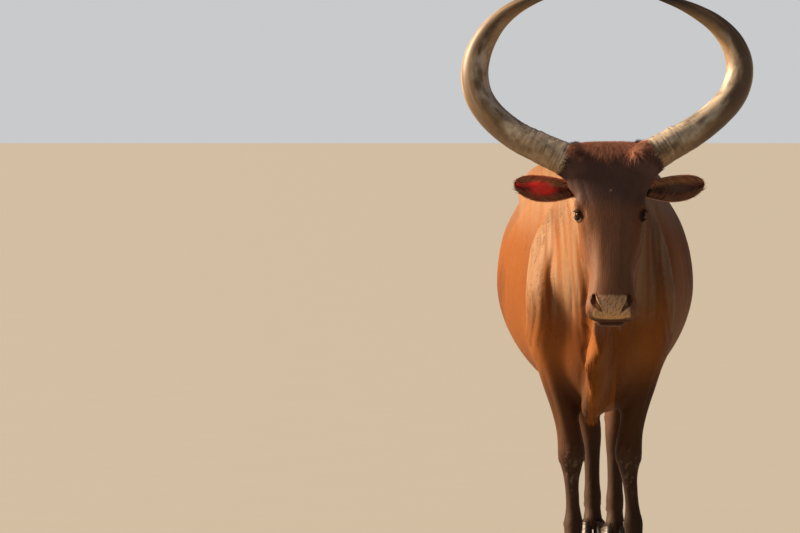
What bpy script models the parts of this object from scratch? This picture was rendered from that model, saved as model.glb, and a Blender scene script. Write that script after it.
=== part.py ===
"""A life-size standing longhorn cow of the Ankole-Watusi kind, facing -Y, with its left side at +X.

The flesh is modelled whole from lofted sections, smoothed into one body, and parted with thin cuts.
Horns, ears, eyes, hooves and tail are their own pieces, each cut to the surface that it grows from.
All sizes are in metres, and the floor is z = 0.
"""

import math
import random

import bmesh
import bpy
import numpy as np
from mathutils import Matrix, Vector
from mathutils.bvhtree import BVHTree

# The gap that parted pieces keep
GAP = 0.0003

# Voxels of the fused flesh, and how far its joins are smoothed
BODY_VOXEL = 0.0115
HEAD_VOXEL = 0.0062
BLEND_RADIUS = 0.052
BODY_TRIANGLES = 4260
HEAD_TRIANGLES = 3900

# Head frame: u runs from the poll to the muzzle, v out of the forehead, w to the cow's left
POLL = Vector((0.013, -1.0, 1.305))
HEAD_TILT = math.radians(28)
HEAD_YAW = math.radians(-0.5)

# Where the head meets the neck, and the throat's line below it in the side view: y and z
NAPE_Y = -0.9240
THROAT = [(NAPE_Y, 0.94), (NAPE_Y - 0.065, 0.895), (-1.10, 0.775), (-1.2, 0.70), (-1.6, 0.70)]

# The spaces of the dewlap and the neck in the side view: y and z
DEWLAP_SPACE = [(-1.2, 0.94), (-0.925, 0.94), (-0.835, 0.82), (-0.735, 0.70), (-0.66, 0.56), (-0.42, 0.50),
                (-0.30, 0.40), (-1.2, 0.30)]
NECK_SPACE = [(-0.415, 1.40), (-0.715, 0.70), (-1.2, 0.70), (-1.2, 1.40)]

# Trunk sections: y, top z, bottom z, half width, z share of the widest line, upper and lower fullness
TRUNK = [
    (-0.70, 0.99, 0.68, 0.060, 0.45, 2.0, 2.0),
    (-0.66, 1.06, 0.60, 0.110, 0.45, 2.0, 2.0),
    (-0.58, 1.15, 0.522, 0.150, 0.46, 2.0, 1.9),
    (-0.48, 1.225, 0.480, 0.180, 0.48, 1.9, 2.0),
    (-0.35, 1.268, 0.475, 0.215, 0.48, 1.8, 2.0),
    (-0.20, 1.264, 0.482, 0.257, 0.49, 1.9, 1.9),
    (-0.02, 1.246, 0.492, 0.301, 0.48, 2.0, 1.78),
    (0.15, 1.244, 0.496, 0.318, 0.49, 2.1, 1.75),
    (0.30, 1.262, 0.522, 0.301, 0.50, 2.4, 1.78),
    (0.44, 1.285, 0.580, 0.252, 0.53, 2.8, 1.9),
    (0.56, 1.284, 0.650, 0.226, 0.58, 2.5, 2.0),
    (0.68, 1.262, 0.690, 0.202, 0.60, 2.3, 2.0),
    (0.78, 1.225, 0.760, 0.168, 0.60, 2.1, 2.0),
    (0.86, 1.160, 0.850, 0.122, 0.58, 2.0, 2.0),
    (0.905, 1.095, 0.950, 0.060, 0.50, 2.0, 2.0),
]

# How far the middle of the trunk stands to the left of the middle of the head
TRUNK_X = 0.005

# Neck sections: top y and z, bottom y and z, half width
NECK = [
    (-0.30, 1.250, -0.62, 0.62, 0.165),
    (-0.42, 1.282, -0.715, 0.72, 0.150),
    (-0.55, 1.300, -0.775, 0.82, 0.122),
    (-0.68, 1.305, -0.825, 0.90, 0.101),
    (-0.80, 1.306, -0.870, 0.965, 0.090),
    (-0.90, 1.305, -0.925, 1.01, 0.086),
    (-0.99, 1.280, -1.000, 1.05, 0.080),
]

# Dewlap sections: root y and z, edge y and z, half width at the root, x of the edge
DEWLAP = [
    (-0.925, 1.06, -0.995, 0.925, 0.024, 0.000),
    (-0.875, 1.00, -0.968, 0.830, 0.025, -0.010),
    (-0.815, 0.93, -0.932, 0.745, 0.027, -0.026),
    (-0.768, 0.885, -0.905, 0.680, 0.0295, -0.012),
    (-0.722, 0.835, -0.874, 0.620, 0.033, -0.046),
    (-0.660, 0.78, -0.825, 0.555, 0.037, -0.028),
    (-0.580, 0.70, -0.745, 0.497, 0.044, -0.038),
    (-0.480, 0.64, -0.635, 0.467, 0.048, -0.034),
    (-0.360, 0.60, -0.480, 0.468, 0.048, -0.018),
    (-0.250, 0.56, -0.330, 0.482, 0.048, 0.0),
]

# Foreleg sections, top to bottom: z, x, y, half width, half depth
FORELEG = [
    (1.13, 0.098, -0.385, 0.050, 0.070),
    (1.03, 0.128, -0.425, 0.078, 0.115),
    (0.93, 0.145, -0.475, 0.084, 0.140),
    (0.83, 0.150, -0.505, 0.084, 0.148),
    (0.74, 0.149, -0.490, 0.081, 0.140),
    (0.67, 0.143, -0.462, 0.070, 0.115),
    (0.61, 0.134, -0.452, 0.061, 0.092),
    (0.55, 0.123, -0.460, 0.052, 0.074),
    (0.49, 0.109, -0.474, 0.045, 0.058),
    (0.43, 0.097, -0.486, 0.041, 0.048),
    (0.385, 0.090, -0.494, 0.0435, 0.048),
    (0.350, 0.088, -0.497, 0.0445, 0.047),
    (0.315, 0.088, -0.494, 0.036, 0.038),
    (0.275, 0.090, -0.490, 0.0265, 0.0325),
    (0.215, 0.092, -0.488, 0.0235, 0.0305),
    (0.175, 0.093, -0.489, 0.0260, 0.0325),
    (0.140, 0.094, -0.494, 0.0325, 0.0385),
    (0.105, 0.095, -0.507, 0.0300, 0.0350),
    (0.070, 0.096, -0.522, 0.0350, 0.0400),
    (0.035, 0.096, -0.526, 0.0350, 0.0400),
]

# Hind-leg sections, in the same way, before each leg's own step
HINDLEG = [
    (1.14, 0.100, 0.575, 0.070, 0.120),
    (1.05, 0.128, 0.580, 0.095, 0.190),
    (0.96, 0.146, 0.590, 0.103, 0.228),
    (0.86, 0.158, 0.590, 0.101, 0.230),
    (0.78, 0.162, 0.570, 0.092, 0.205),
    (0.71, 0.157, 0.555, 0.079, 0.168),
    (0.64, 0.145, 0.582, 0.062, 0.124),
    (0.58, 0.131, 0.625, 0.050, 0.088),
    (0.53, 0.119, 0.662, 0.043, 0.070),
    (0.49, 0.111, 0.690, 0.0395, 0.062),
    (0.45, 0.105, 0.703, 0.0425, 0.056),
    (0.405, 0.101, 0.700, 0.0415, 0.046),
    (0.355, 0.097, 0.691, 0.0370, 0.0380),
    (0.28, 0.095, 0.682, 0.0295, 0.0325),
    (0.20, 0.094, 0.674, 0.0275, 0.0320),
    (0.15, 0.093, 0.669, 0.0315, 0.0380),
    (0.11, 0.093, 0.657, 0.0290, 0.0345),
    (0.072, 0.093, 0.643, 0.0345, 0.0395),
    (0.035, 0.093, 0.639, 0.0345, 0.0395),
]

# How far each foot is set sideways and back from its leg's plain column, and the z where that starts
STEPS = {
    "front_right": (-1, FORELEG, 0.012, 0.0, 0.34),
    "front_left": (1, FORELEG, 0.010, 0.0, 0.34),
    "hind_right": (-1, HINDLEG, 0.110, 0.09, 0.86),
    "hind_left": (1, HINDLEG, -0.011, -0.15, 0.86),
}

# The space of each leg: x and z down its inner edge in the front view, then y and z round it in the side view
LEG_TOP_Z = {"front": 0.69, "hind": 0.80}
LEG_INNER_EDGE = {
    "front_left": [(0.190, 0.69), (0.068, 0.455), (0.006, 0.40), (0.006, -0.1)],
    "front_right": [(-0.190, 0.69), (-0.068, 0.455), (-0.006, 0.40), (-0.006, -0.1)],
    "hind_left": [(0.088, 0.80), (0.088, 0.62), (0.048, 0.50), (0.048, -0.1)],
    "hind_right": [(-0.088, 0.80), (-0.088, 0.62), (0.048, 0.50), (0.048, -0.1)],
}
LEG_SIDE_VIEW = {
    "front": [(-0.80, 0.69), (-0.365, 0.69), (-0.335, 0.60), (-0.335, -0.1), (-0.80, -0.1)],
    "hind": [(0.515, 0.80), (0.385, 0.64), (0.385, 0.30), (0.289, -0.1), (1.05, -0.1), (1.05, 0.80)],
}

# Skull and upper jaw: u, top v, bottom v, half width, v share of the widest line, fullness up and down
SKULL = [
    (-0.040, -0.030, -0.120, 0.096, 0.55, 3.0, 2.2),
    (-0.020, -0.006, -0.150, 0.120, 0.62, 3.6, 2.0),
    (0.020, 0.004, -0.175, 0.132, 0.68, 4.2, 1.9),
    (0.060, 0.006, -0.190, 0.137, 0.71, 3.8, 1.8),
    (0.100, 0.003, -0.200, 0.129, 0.72, 3.0, 1.8),
    (0.150, -0.001, -0.205, 0.111, 0.74, 2.7, 1.8),
    (0.200, -0.004, -0.200, 0.105, 0.74, 2.7, 1.8),
    (0.240, -0.007, -0.190, 0.102, 0.72, 2.6, 1.8),
    (0.290, -0.010, -0.172, 0.094, 0.66, 2.3, 1.9),
    (0.340, -0.011, -0.152, 0.083, 0.60, 2.2, 2.0),
    (0.390, -0.011, -0.132, 0.073, 0.55, 2.2, 2.1),
    (0.430, -0.011, -0.117, 0.071, 0.50, 2.2, 2.2),
    (0.470, -0.012, -0.107, 0.075, 0.46, 2.3, 2.3),
    (0.505, -0.016, -0.102, 0.080, 0.45, 2.4, 2.4),
    (0.530, -0.028, -0.100, 0.078, 0.45, 2.5, 2.4),
    (0.548, -0.044, -0.094, 0.066, 0.48, 2.6, 2.4),
]

# Lower jaw, in the same way
JAW = [
    (0.150, -0.080, -0.200, 0.050, 0.50, 2.0, 2.0),
    (0.200, -0.090, -0.228, 0.064, 0.50, 2.0, 2.0),
    (0.260, -0.090, -0.226, 0.066, 0.50, 2.0, 2.0),
    (0.320, -0.085, -0.198, 0.058, 0.50, 2.0, 2.0),
    (0.380, -0.080, -0.166, 0.048, 0.50, 2.0, 2.0),
    (0.430, -0.075, -0.145, 0.043, 0.50, 2.0, 2.0),
    (0.470, -0.080, -0.139, 0.048, 0.45, 2.2, 2.2),
    (0.500, -0.086, -0.138, 0.052, 0.45, 2.3, 2.3),
    (0.530, -0.090, -0.136, 0.050, 0.45, 2.4, 2.4),
    (0.548, -0.096, -0.127, 0.036, 0.45, 2.4, 2.4),
]

# Soft swellings and hollows of the head: w, u, v, reach along w, u and v, and height
HEAD_FORMS = [
    (0.098, 0.188, -0.030, 0.030, 0.050, 0.028, 0.010),
    (0.112, 0.135, -0.078, 0.030, 0.040, 0.035, -0.009),
    (0.085, 0.320, -0.085, 0.030, 0.050, 0.022, 0.006),
    (0.075, 0.380, -0.050, 0.030, 0.060, 0.025, -0.005),
    (0.075, 0.245, -0.155, 0.040, 0.060, 0.045, 0.009),
    (0.050, 0.520, -0.045, 0.030, 0.035, 0.030, 0.006),
    (0.060, 0.485, -0.095, 0.030, 0.050, 0.022, 0.004),
]

# Soft swellings and hollows of the body: x, y, z, reach along each, and height; on both sides
BODY_FORMS = [
    (0.215, 0.450, 1.190, 0.110, 0.110, 0.110, 0.024),
    (0.250, 0.340, 1.090, 0.110, 0.160, 0.120, -0.020),
    (0.105, 0.870, 1.080, 0.080, 0.090, 0.090, 0.020),
    (0.215, -0.600, 0.850, 0.100, 0.100, 0.130, 0.012),
    (0.230, -0.430, 0.700, 0.100, 0.100, 0.110, 0.010),
    (0.190, 0.780, 0.900, 0.110, 0.110, 0.200, 0.010),
]

# Horn line, base to tip: reach out from the head's middle, y, z, radius
HORN = [
    (0.080, -0.985, 1.240, 0.0490),
    (0.112, -0.988, 1.257, 0.0510),
    (0.140, -0.988, 1.270, 0.0505),
    (0.208, -0.978, 1.301, 0.0470),
    (0.284, -0.958, 1.340, 0.0445),
    (0.350, -0.934, 1.394, 0.0430),
    (0.392, -0.910, 1.454, 0.0425),
    (0.406, -0.890, 1.518, 0.0420),
    (0.398, -0.874, 1.578, 0.0400),
    (0.372, -0.864, 1.636, 0.0350),
    (0.332, -0.862, 1.688, 0.0285),
    (0.282, -0.868, 1.727, 0.0225),
    (0.228, -0.880, 1.753, 0.0165),
    (0.176, -0.896, 1.769, 0.0100),
    (0.132, -0.912, 1.778, 0.0030),
]
HORN_SHARE = {"right": 1.0, "left": 0.965}

# How far each row of the left horn's line lies off its twin's: out and up
HORN_BEND = [
    (0.0, 0.0), (-0.002, 0.006), (-0.006, 0.012), (-0.0115, 0.0175), (-0.0165, 0.019), (-0.0185, 0.0145),
    (-0.0125, 0.006), (-0.001, 0.0), (0.0085, 0.002), (0.010, 0.005), (0.005, 0.0035), (0.001, 0.0),
    (0.0, 0.0), (0.0, 0.0), (0.0, 0.0),
]
HORN_SIDES = 14

# Hide round a horn's root: how far out, and how much wider than the horn
HORN_COLLAR = [(0.082, 0.005), (0.100, 0.0075), (0.118, 0.0075), (0.130, 0.0045), (0.137, -0.003)]
HORN_RING_DEPTH = 0.0016

# Ear: its root and tip off the head's middle, greatest half width, depth of the cup, thickness
EAR_ROOT = Vector((0.108, -0.955, 1.172))
EAR_TIP = Vector((0.288, -0.952, 1.193))
EAR_HALF_WIDTH = 0.042
EAR_WIDEST = 0.52
EAR_CUP = 0.026
EAR_THICKNESS = 0.0055

# Eye: place of its centre in the head frame, radius, lid opening
EYE = (0.0870, 0.212, -0.046)
EYE_RADIUS = 0.0195
LID_THICKNESS = 0.0052
EYE_LOOK = (0.86, -0.50, 0.06)
LID_LENGTH = 0.0380
LID_HEIGHT = 0.0240

# Nostril slots and the line of the mouth, in the head frame
NOSTRIL = (0.0430, 0.510, -0.029)
NOSTRIL_RADII = (0.0085, 0.026, 0.0150)
NOSTRIL_LEAN = math.radians(27)
MOUTH_GROOVE = 0.0042
MOUTH_LINE = [
    (0.088, 0.415, -0.095),
    (0.085, 0.460, -0.098),
    (0.072, 0.515, -0.097),
    (0.038, 0.545, -0.092),
    (0.000, 0.552, -0.090),
]

# Hooves: each foot has two claws
CLAW_LENGTH = 0.118
CLAW_WIDTH = 0.050
CLAW_CLEFT = 0.0045
CLAW_SIDES = 14
CLAW_RINGS = [(0.0, 1.0, 0.0), (0.010, 1.0, 0.002), (0.045, 0.87, 0.014), (0.10, 0.70, 0.032)]
CORONET_FRONT_Z = 0.076
CORONET_BACK_Z = 0.044
DEWCLAW_LENGTH = 0.034
DEWCLAW_RADIUS = 0.012

# Tail: y, z, x, radius, down the line from the rump, then the switch
TAIL = [
    (0.800, 1.205, 0.000, 0.038),
    (0.865, 1.175, 0.000, 0.034),
    (0.915, 1.105, 0.000, 0.029),
    (0.938, 1.000, 0.000, 0.024),
    (0.945, 0.880, 0.002, 0.020),
    (0.945, 0.760, 0.004, 0.0165),
    (0.942, 0.640, 0.006, 0.0140),
    (0.938, 0.560, 0.008, 0.0125),
]
TAIL_COLLAR = 0.007
SWITCH_TOP_Z = 0.575
SWITCH_BOTTOM_Z = 0.285
SWITCH_LOCKS = 18
SWITCH_RADIUS = 0.034

UDDER = ((0.018, 0.590, 0.640), (0.062, 0.115, 0.085))
UDDER_GAP = 0.0018
TEAT_RADIUS = 0.0105
TEAT_LENGTH = 0.042

COAT = ((0.235, 0.052, 0.017), 0.55, 0.0)
HORN_STUFF = ((0.50, 0.38, 0.25), 0.42, 0.0)
HOOF_STUFF = ((0.055, 0.038, 0.028), 0.50, 0.0)
EYE_STUFF = ((0.012, 0.007, 0.005), 0.06, 0.0)
SWITCH_STUFF = ((0.085, 0.022, 0.010), 0.60, 0.0)
UDDER_STUFF = ((0.33, 0.13, 0.08), 0.60, 0.0)


def clear_scene():
    for obj in list(bpy.data.objects):
        bpy.data.objects.remove(obj)


def material(name, look):
    colour, roughness, metallic = look
    made = bpy.data.materials.new(name)
    made.use_nodes = True
    shader = made.node_tree.nodes["Principled BSDF"]
    shader.inputs["Base Color"].default_value = (*colour, 1.0)
    shader.inputs["Roughness"].default_value = roughness
    shader.inputs["Metallic"].default_value = metallic
    return made


def flowing(rows, steps):
    """The rows, with smooth rows between each two (a Catmull-Rom curve through all columns)."""
    rows = np.array(rows, float)
    padded = np.vstack([2 * rows[0] - rows[1], rows, 2 * rows[-1] - rows[-2]])
    made = []
    for i in range(len(rows) - 1):
        p0, p1, p2, p3 = padded[i : i + 4]
        for t in np.arange(steps) / steps:
            bend = (2 * p0 - 5 * p1 + 4 * p2 - p3) * t * t
            twist = (3 * p1 - p0 - 3 * p2 + p3) * t**3
            made.append(0.5 * (2 * p1 + (p2 - p0) * t + bend + twist))
    made.append(rows[-1])
    return np.array(made)


def power(value, exponent):
    return math.copysign(abs(value) ** exponent, value)


def section(top, bottom, half_width, wide_at, full_up, full_down, x=0.0, edge_x=None, count=26):
    """A closed ring between a top and a bottom point of the side view, each (y, z)."""
    top, bottom = Vector((0, *top)), Vector((0, *bottom))
    middle = bottom.lerp(top, wide_at)
    edge_x = x if edge_x is None else edge_x
    ring = []
    for k in range(count):
        angle = 2 * math.pi * k / count
        across, along = math.cos(angle), math.sin(angle)
        fullness = full_up if along >= 0 else full_down
        reach = abs(along) ** (2 / fullness)
        point = middle + ((top if along >= 0 else bottom) - middle) * reach
        point.x = half_width * power(across, 2 / fullness) + x
        if along < 0:
            point.x += (edge_x - x) * reach
        ring.append(point)
    return ring


def level_ring(z, x, y, half_width, half_depth, count=18):
    turns = [2 * math.pi * k / count for k in range(count)]
    return [Vector((x + half_width * math.cos(a), y + half_depth * math.sin(a), z)) for a in turns]


def loft(name, rings):
    """A closed mesh object through the rings, with flat ends; a ring of one point closes to it."""
    shape = bmesh.new()
    loops = [[shape.verts.new(p) for p in ring] for ring in rings]
    for near, far in zip(loops, loops[1:]):
        count = max(len(near), len(far))
        for k in range(count):
            corners = []
            for vert in (near[k % len(near)], near[(k + 1) % len(near)],
                         far[(k + 1) % len(far)], far[k % len(far)]):
                if vert not in corners:
                    corners.append(vert)
            shape.faces.new(corners)
    for loop in (loops[0], loops[-1]):
        if len(loop) > 2:
            shape.faces.new(loop)
    bmesh.ops.recalc_face_normals(shape, faces=shape.faces)
    mesh = bpy.data.meshes.new(name)
    shape.to_mesh(mesh)
    shape.free()
    obj = bpy.data.objects.new(name, mesh)
    bpy.context.scene.collection.objects.link(obj)
    return obj


def tube(name, path, radii, sides=14, pointed=False):
    """A round tube along a path, its rings kept untwisted from one to the next."""
    path = [Vector(p) for p in path]
    rings = []
    side = None
    for i, point in enumerate(path):
        ahead = (path[min(i + 1, len(path) - 1)] - path[max(i - 1, 0)]).normalized()
        side = side or ahead.orthogonal()
        side = (side - ahead * side.dot(ahead)).normalized()
        other = ahead.cross(side)
        turns = [2 * math.pi * k / sides for k in range(sides)]
        rings.append([point + (side * math.cos(a) + other * math.sin(a)) * radii[i] for a in turns])
    if pointed:
        rings[-1] = [path[-1]]
    return loft(name, rings)


def ball(name, centre, radii, sides=16, turn=None):
    shape = bmesh.new()
    bmesh.ops.create_uvsphere(shape, u_segments=sides, v_segments=sides // 2 + 2, radius=1.0)
    place = Matrix.Translation(centre) @ (turn or Matrix.Identity(4)) @ Matrix.Diagonal((*radii, 1.0))
    bmesh.ops.transform(shape, matrix=place, verts=shape.verts)
    mesh = bpy.data.meshes.new(name)
    shape.to_mesh(mesh)
    shape.free()
    obj = bpy.data.objects.new(name, mesh)
    bpy.context.scene.collection.objects.link(obj)
    return obj


def settle(obj):
    """Replaces the object's mesh with what its modifiers make of it."""
    graph = bpy.context.evaluated_depsgraph_get()
    mesh = bpy.data.meshes.new_from_object(obj.evaluated_get(graph))
    obj.modifiers.clear()
    obj.data = mesh
    return obj


def copy_of(obj, name):
    twin = obj.copy()
    twin.data = obj.data.copy()
    twin.name = name
    bpy.context.scene.collection.objects.link(twin)
    return twin


def discard(*objects):
    for obj in objects:
        bpy.data.objects.remove(obj)


def largest_only(obj):
    """Keeps the largest closed surface, so that no loose scrap or sealed hollow stays."""
    shape = bmesh.new()
    shape.from_mesh(obj.data)
    left, shells = set(shape.verts), []
    while left:
        shell, front = set(), [left.pop()]
        while front:
            vert = front.pop()
            shell.add(vert)
            near = [e.other_vert(vert) for e in vert.link_edges]
            front += [v for v in near if v in left]
            left.difference_update(near)
        shells.append(shell)
    shells.sort(key=len)
    bmesh.ops.delete(shape, geom=[v for shell in shells[:-1] for v in shell], context="VERTS")
    shape.to_mesh(obj.data)
    shape.free()
    return obj


def combine(obj, operation, others, solver="EXACT"):
    """Joins, cuts or keeps the common part of obj and the others, which are then removed."""
    group = bpy.data.collections.new("operands")
    bpy.context.scene.collection.children.link(group)
    for other in others:
        bpy.context.scene.collection.objects.unlink(other)
        group.objects.link(other)
    step = obj.modifiers.new("combine", "BOOLEAN")
    step.operation = operation
    step.solver = solver
    step.operand_type = "COLLECTION"
    step.collection = group
    settle(obj)
    discard(*others)
    bpy.data.collections.remove(group)
    return largest_only(obj)


def grown(obj, by, name="grown"):
    """A copy whose surface stands out by that much."""
    twin = copy_of(obj, name)
    swell = twin.modifiers.new("swell", "DISPLACE")
    swell.mid_level = 0.0
    swell.strength = by
    return settle(twin)


def points_of(obj):
    flat = np.empty(len(obj.data.vertices) * 3)
    obj.data.vertices.foreach_get("co", flat)
    return flat.reshape(-1, 3)


def normals_of(obj):
    flat = np.empty(len(obj.data.vertices) * 3)
    obj.data.vertices.foreach_get("normal", flat)
    return flat.reshape(-1, 3)


def put_points(obj, points):
    obj.data.vertices.foreach_set("co", points.ravel())
    obj.data.update()


def swell(obj, centre, axes, reaches, height):
    """Raises or hollows the surface round a centre, fading to nothing at the reaches along the axes."""
    points = points_of(obj)
    offsets = points - np.array(centre)
    spans = [offsets @ np.array(axis) / reach for axis, reach in zip(axes, reaches)]
    share = np.clip(1 - sum(span**2 for span in spans), 0, 1) ** 2
    put_points(obj, points + normals_of(obj) * (share * height)[:, None])


def head_axes():
    turn = Matrix.Rotation(HEAD_YAW, 3, "Z")
    across = turn @ Vector((1, 0, 0))
    along = turn @ Vector((0, -math.sin(HEAD_TILT), -math.cos(HEAD_TILT)))
    out = turn @ Vector((0, -math.cos(HEAD_TILT), math.sin(HEAD_TILT)))
    return across, along, out


def in_head(w, u, v):
    across, along, out = head_axes()
    return POLL + across * w + along * u + out * v


def head_loft(name, rows):
    rings = []
    across = head_axes()[0]
    for u, top, bottom, half_width, wide_at, full_up, full_down in flowing(rows, 3):
        flat = section((top, 0), (bottom, 0), half_width, wide_at, full_up, full_down, count=30)
        rings.append([in_head(0, u, p.y) + across * p.x for p in flat])
    return loft(name, rings)


def trunk():
    rows = flowing(TRUNK, 3)
    return loft("trunk_form", [
        section((y, top), (y, bottom), width, wide, up, down, x=TRUNK_X, count=40)
        for y, top, bottom, width, wide, up, down in rows
    ])


def neck():
    rows = flowing(NECK, 3)
    return loft("neck_form", [
        section((ty, tz), (by, bz), width, 0.5, 1.9, 2.0, x=neck_x(ty), count=30)
        for ty, tz, by, bz, width in rows
    ])


def neck_x(y):
    """The neck swings from the trunk's middle to the head's."""
    share = min(max((-0.45 - y) / 0.5, 0.0), 1.0)
    return POLL.x * share


def dewlap():
    rows = flowing(DEWLAP, 3)
    return loft("dewlap_form", [
        section((ry, rz), (ey, ez), width, 0.60, 2.0, 2.5, x=0.0, edge_x=edge_x, count=22)
        for ry, rz, ey, ez, width, edge_x in rows
    ])


def leg_rows(name):
    side, rows, step_x, step_y, start = STEPS[name]
    made = []
    for z, x, y, width, depth in flowing(rows, 2):
        share = min(max((start - z) / start / 0.62, 0.0), 1.0)
        share = share * share * (3 - 2 * share)
        made.append((z, side * x + share * step_x, y + share * step_y, width, depth))
    return made


def leg(name):
    return loft(name + "_form", [level_ring(*row) for row in leg_rows(name)])


def tail_tube(name, first, last, collar=0.0):
    rows = flowing(TAIL, 3)[first:last]
    return tube(name, [(x, y, z) for y, z, x, _ in rows], [r + collar for _, _, _, r in rows], sides=10)


def flesh(name, voxel, pieces):
    """The pieces fused to one skin, its joins smoothed over the blend radius."""
    whole = pieces[0]
    shape = bmesh.new()
    for piece in pieces:
        shape.from_mesh(piece.data)
    shape.to_mesh(whole.data)
    shape.free()
    discard(*pieces[1:])
    whole.name = name
    remesh = whole.modifiers.new("fuse", "REMESH")
    remesh.mode = "VOXEL"
    remesh.voxel_size = voxel
    settle(whole)
    points = points_of(whole)
    weight = softness(points)
    group = whole.vertex_groups.new(name="soft")
    for index, share in enumerate(weight):
        group.add([index], float(share), "REPLACE")
    smooth = whole.modifiers.new("soften", "SMOOTH")
    smooth.factor = 0.5
    smooth.iterations = round((BLEND_RADIUS / voxel) ** 2)
    smooth.vertex_group = "soft"
    settle(whole)
    whole.vertex_groups.clear()
    return whole


def softness(points):
    """How freely each point is smoothed: fully on the trunk, hardly on the shins and the head."""
    z, y = points[:, 2], points[:, 1]
    on_leg = np.clip((z - 0.42) / 0.25, 0.06, 1.0)
    on_head = np.clip((y + 0.99) / 0.14, 0.05, 1.0)
    on_edge = np.where((y < -0.60) & (np.abs(points[:, 0]) < 0.07) & (z < 0.80), 0.25, 1.0)
    return on_leg * on_head * on_edge


def shape_body(body):
    axes = (Vector((1, 0, 0)), Vector((0, 1, 0)), Vector((0, 0, 1)))
    for x, y, z, *reaches, height in BODY_FORMS:
        for side in (-1, 1):
            swell(body, (side * x, y, z), axes, reaches, height)


def shape_head(head):
    for w, u, v, *reaches, height in HEAD_FORMS:
        for side in (-1, 1):
            swell(head, in_head(side * w, u, v), head_axes(), reaches, height)


def thin_out(obj, triangles):
    obj.data.calc_loop_triangles()
    fewer = obj.modifiers.new("fewer", "DECIMATE")
    fewer.ratio = triangles / len(obj.data.loop_triangles)
    return settle(obj)


def prism(name, outline, axis, low, high):
    """A straight solid on an outline: (x, z) points along Y, or (y, z) points along X."""
    ends = []
    for place in (low, high):
        if axis == "Y":
            ends.append([Vector((a, place, b)) for a, b in outline])
        else:
            ends.append([Vector((place, a, b)) for a, b in outline])
    return loft(name, ends)


def split(rest, name, region):
    """Parts the region's share off the rest, leaving the gap between them."""
    part = copy_of(rest, name)
    wider = grown(region, GAP * 1.8)
    combine(part, "INTERSECT", [region])
    combine(rest, "DIFFERENCE", [wider])
    return part


def leg_region(name):
    """The space of one leg, bounded by the chest's or the groin's slope and by the coronet."""
    end = name.split("_")[0]
    foot_y = leg_rows(name)[-1][2]
    outside = STEPS[name][0] * 0.5
    across = LEG_INNER_EDGE[name] + [(outside, -0.1), (outside, LEG_TOP_Z[end])]
    region = prism(name + "_space", across, "Y", -0.9, 1.1)
    combine(region, "INTERSECT", [prism("side_view", LEG_SIDE_VIEW[end], "X", -0.6, 0.6)])
    sole = prism("sole", coronet_outline(foot_y), "X", -0.6, 0.6)
    return combine(region, "DIFFERENCE", [sole])


def coronet_outline(foot_y):
    """Everything under the sloping line where hoof meets skin, in the side view."""
    front, back = foot_y - 0.10, foot_y + 0.10
    return [(front, CORONET_FRONT_Z + 0.009), (back, CORONET_BACK_Z - 0.009), (back, -0.3), (front, -0.3)]


def claw(name, foot_x, foot_y, side):
    """One claw: a flat sole, a flat inner wall by the cleft, and an outer wall that leans in."""
    rings = []
    for z, spread, forward in CLAW_RINGS:
        half = CLAW_WIDTH / 2 * spread
        centre_x = foot_x + side * (half + CLAW_CLEFT / 2)
        ring = []
        for k in range(CLAW_SIDES):
            angle = 2 * math.pi * k / CLAW_SIDES
            x = half * power(math.cos(angle), 0.62)
            y = -CLAW_LENGTH / 2 * spread * power(math.sin(angle), 0.85)
            toe = max(-y / (CLAW_LENGTH / 2), 0)
            pointed = x * (1 - 0.42 * toe**1.6) - side * half * 0.20 * toe**1.6
            ring.append(Vector((centre_x + pointed, foot_y - 0.012 + y + forward, z)))
        rings.append(ring)
    made = loft(name, rings)
    outline = coronet_outline(foot_y)
    lower = [(y, z - GAP * 1.3) for y, z in outline[:2]] + outline[2:]
    return combine(made, "INTERSECT", [prism("under", lower, "X", foot_x - 0.3, foot_x + 0.3)])


def dewclaw(name, rows, side, skin):
    """A small blunt horn behind the fetlock, pointing down and back."""
    z, x, y, width, depth = min(rows, key=lambda row: abs(row[0] - 0.135))
    start = Vector((x + side * width * 0.52, y + depth * 0.55, z + 0.004))
    end = start + Vector((side * 0.004, DEWCLAW_LENGTH, -0.022))
    steps = [0.0, 0.4, 0.75, 1.0]
    radii = [DEWCLAW_RADIUS * r for r in (0.9, 1.0, 0.8, 0.35)]
    made = tube(name, [start.lerp(end, s) for s in steps], radii, sides=8)
    return combine(made, "DIFFERENCE", [grown(skin, GAP * 2)])


def horn_line(side):
    share = HORN_SHARE[side]
    sign = 1 if side == "left" else -1
    root = HORN[0]
    rows = []
    line = HORN
    if side == "left":
        line = [(x + out, y, z + up, radius) for (x, y, z, radius), (out, up) in zip(HORN, HORN_BEND)]
    for x, y, z, radius in flowing(line, 3):
        out = root[0] + (x - root[0]) * share
        rows.append((POLL.x + sign * out, root[1] + (y - root[1]) * share,
                     root[2] + (z - root[2]) * share, radius))
    return rows


def horn_collar(side):
    """The hide that reaches out round a horn's root."""
    root = np.array(horn_line(side)[:8])
    reach = np.abs(root[:, 0] - POLL.x)
    path = []
    radii = []
    for out, wider in HORN_COLLAR:
        x, y, z, radius = [float(np.interp(out, reach, root[:, k])) for k in range(4)]
        path.append((x, y, z))
        radii.append(radius + wider)
    return tube("horn_collar", path, radii, sides=24)


def horn(name, side, skin):
    """A long tapering horn, with worn growth rings on its first third."""
    rows = horn_line(side)
    radii = []
    for i, row in enumerate(rows):
        ringed = max(0.0, 1 - i / 14) * (1 if i % 2 else -1)
        radii.append(row[3] + HORN_RING_DEPTH * ringed)
    made = tube(name, [row[:3] for row in rows], radii, sides=HORN_SIDES, pointed=True)
    return combine(made, "DIFFERENCE", [grown(skin, GAP * 2)])


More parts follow.
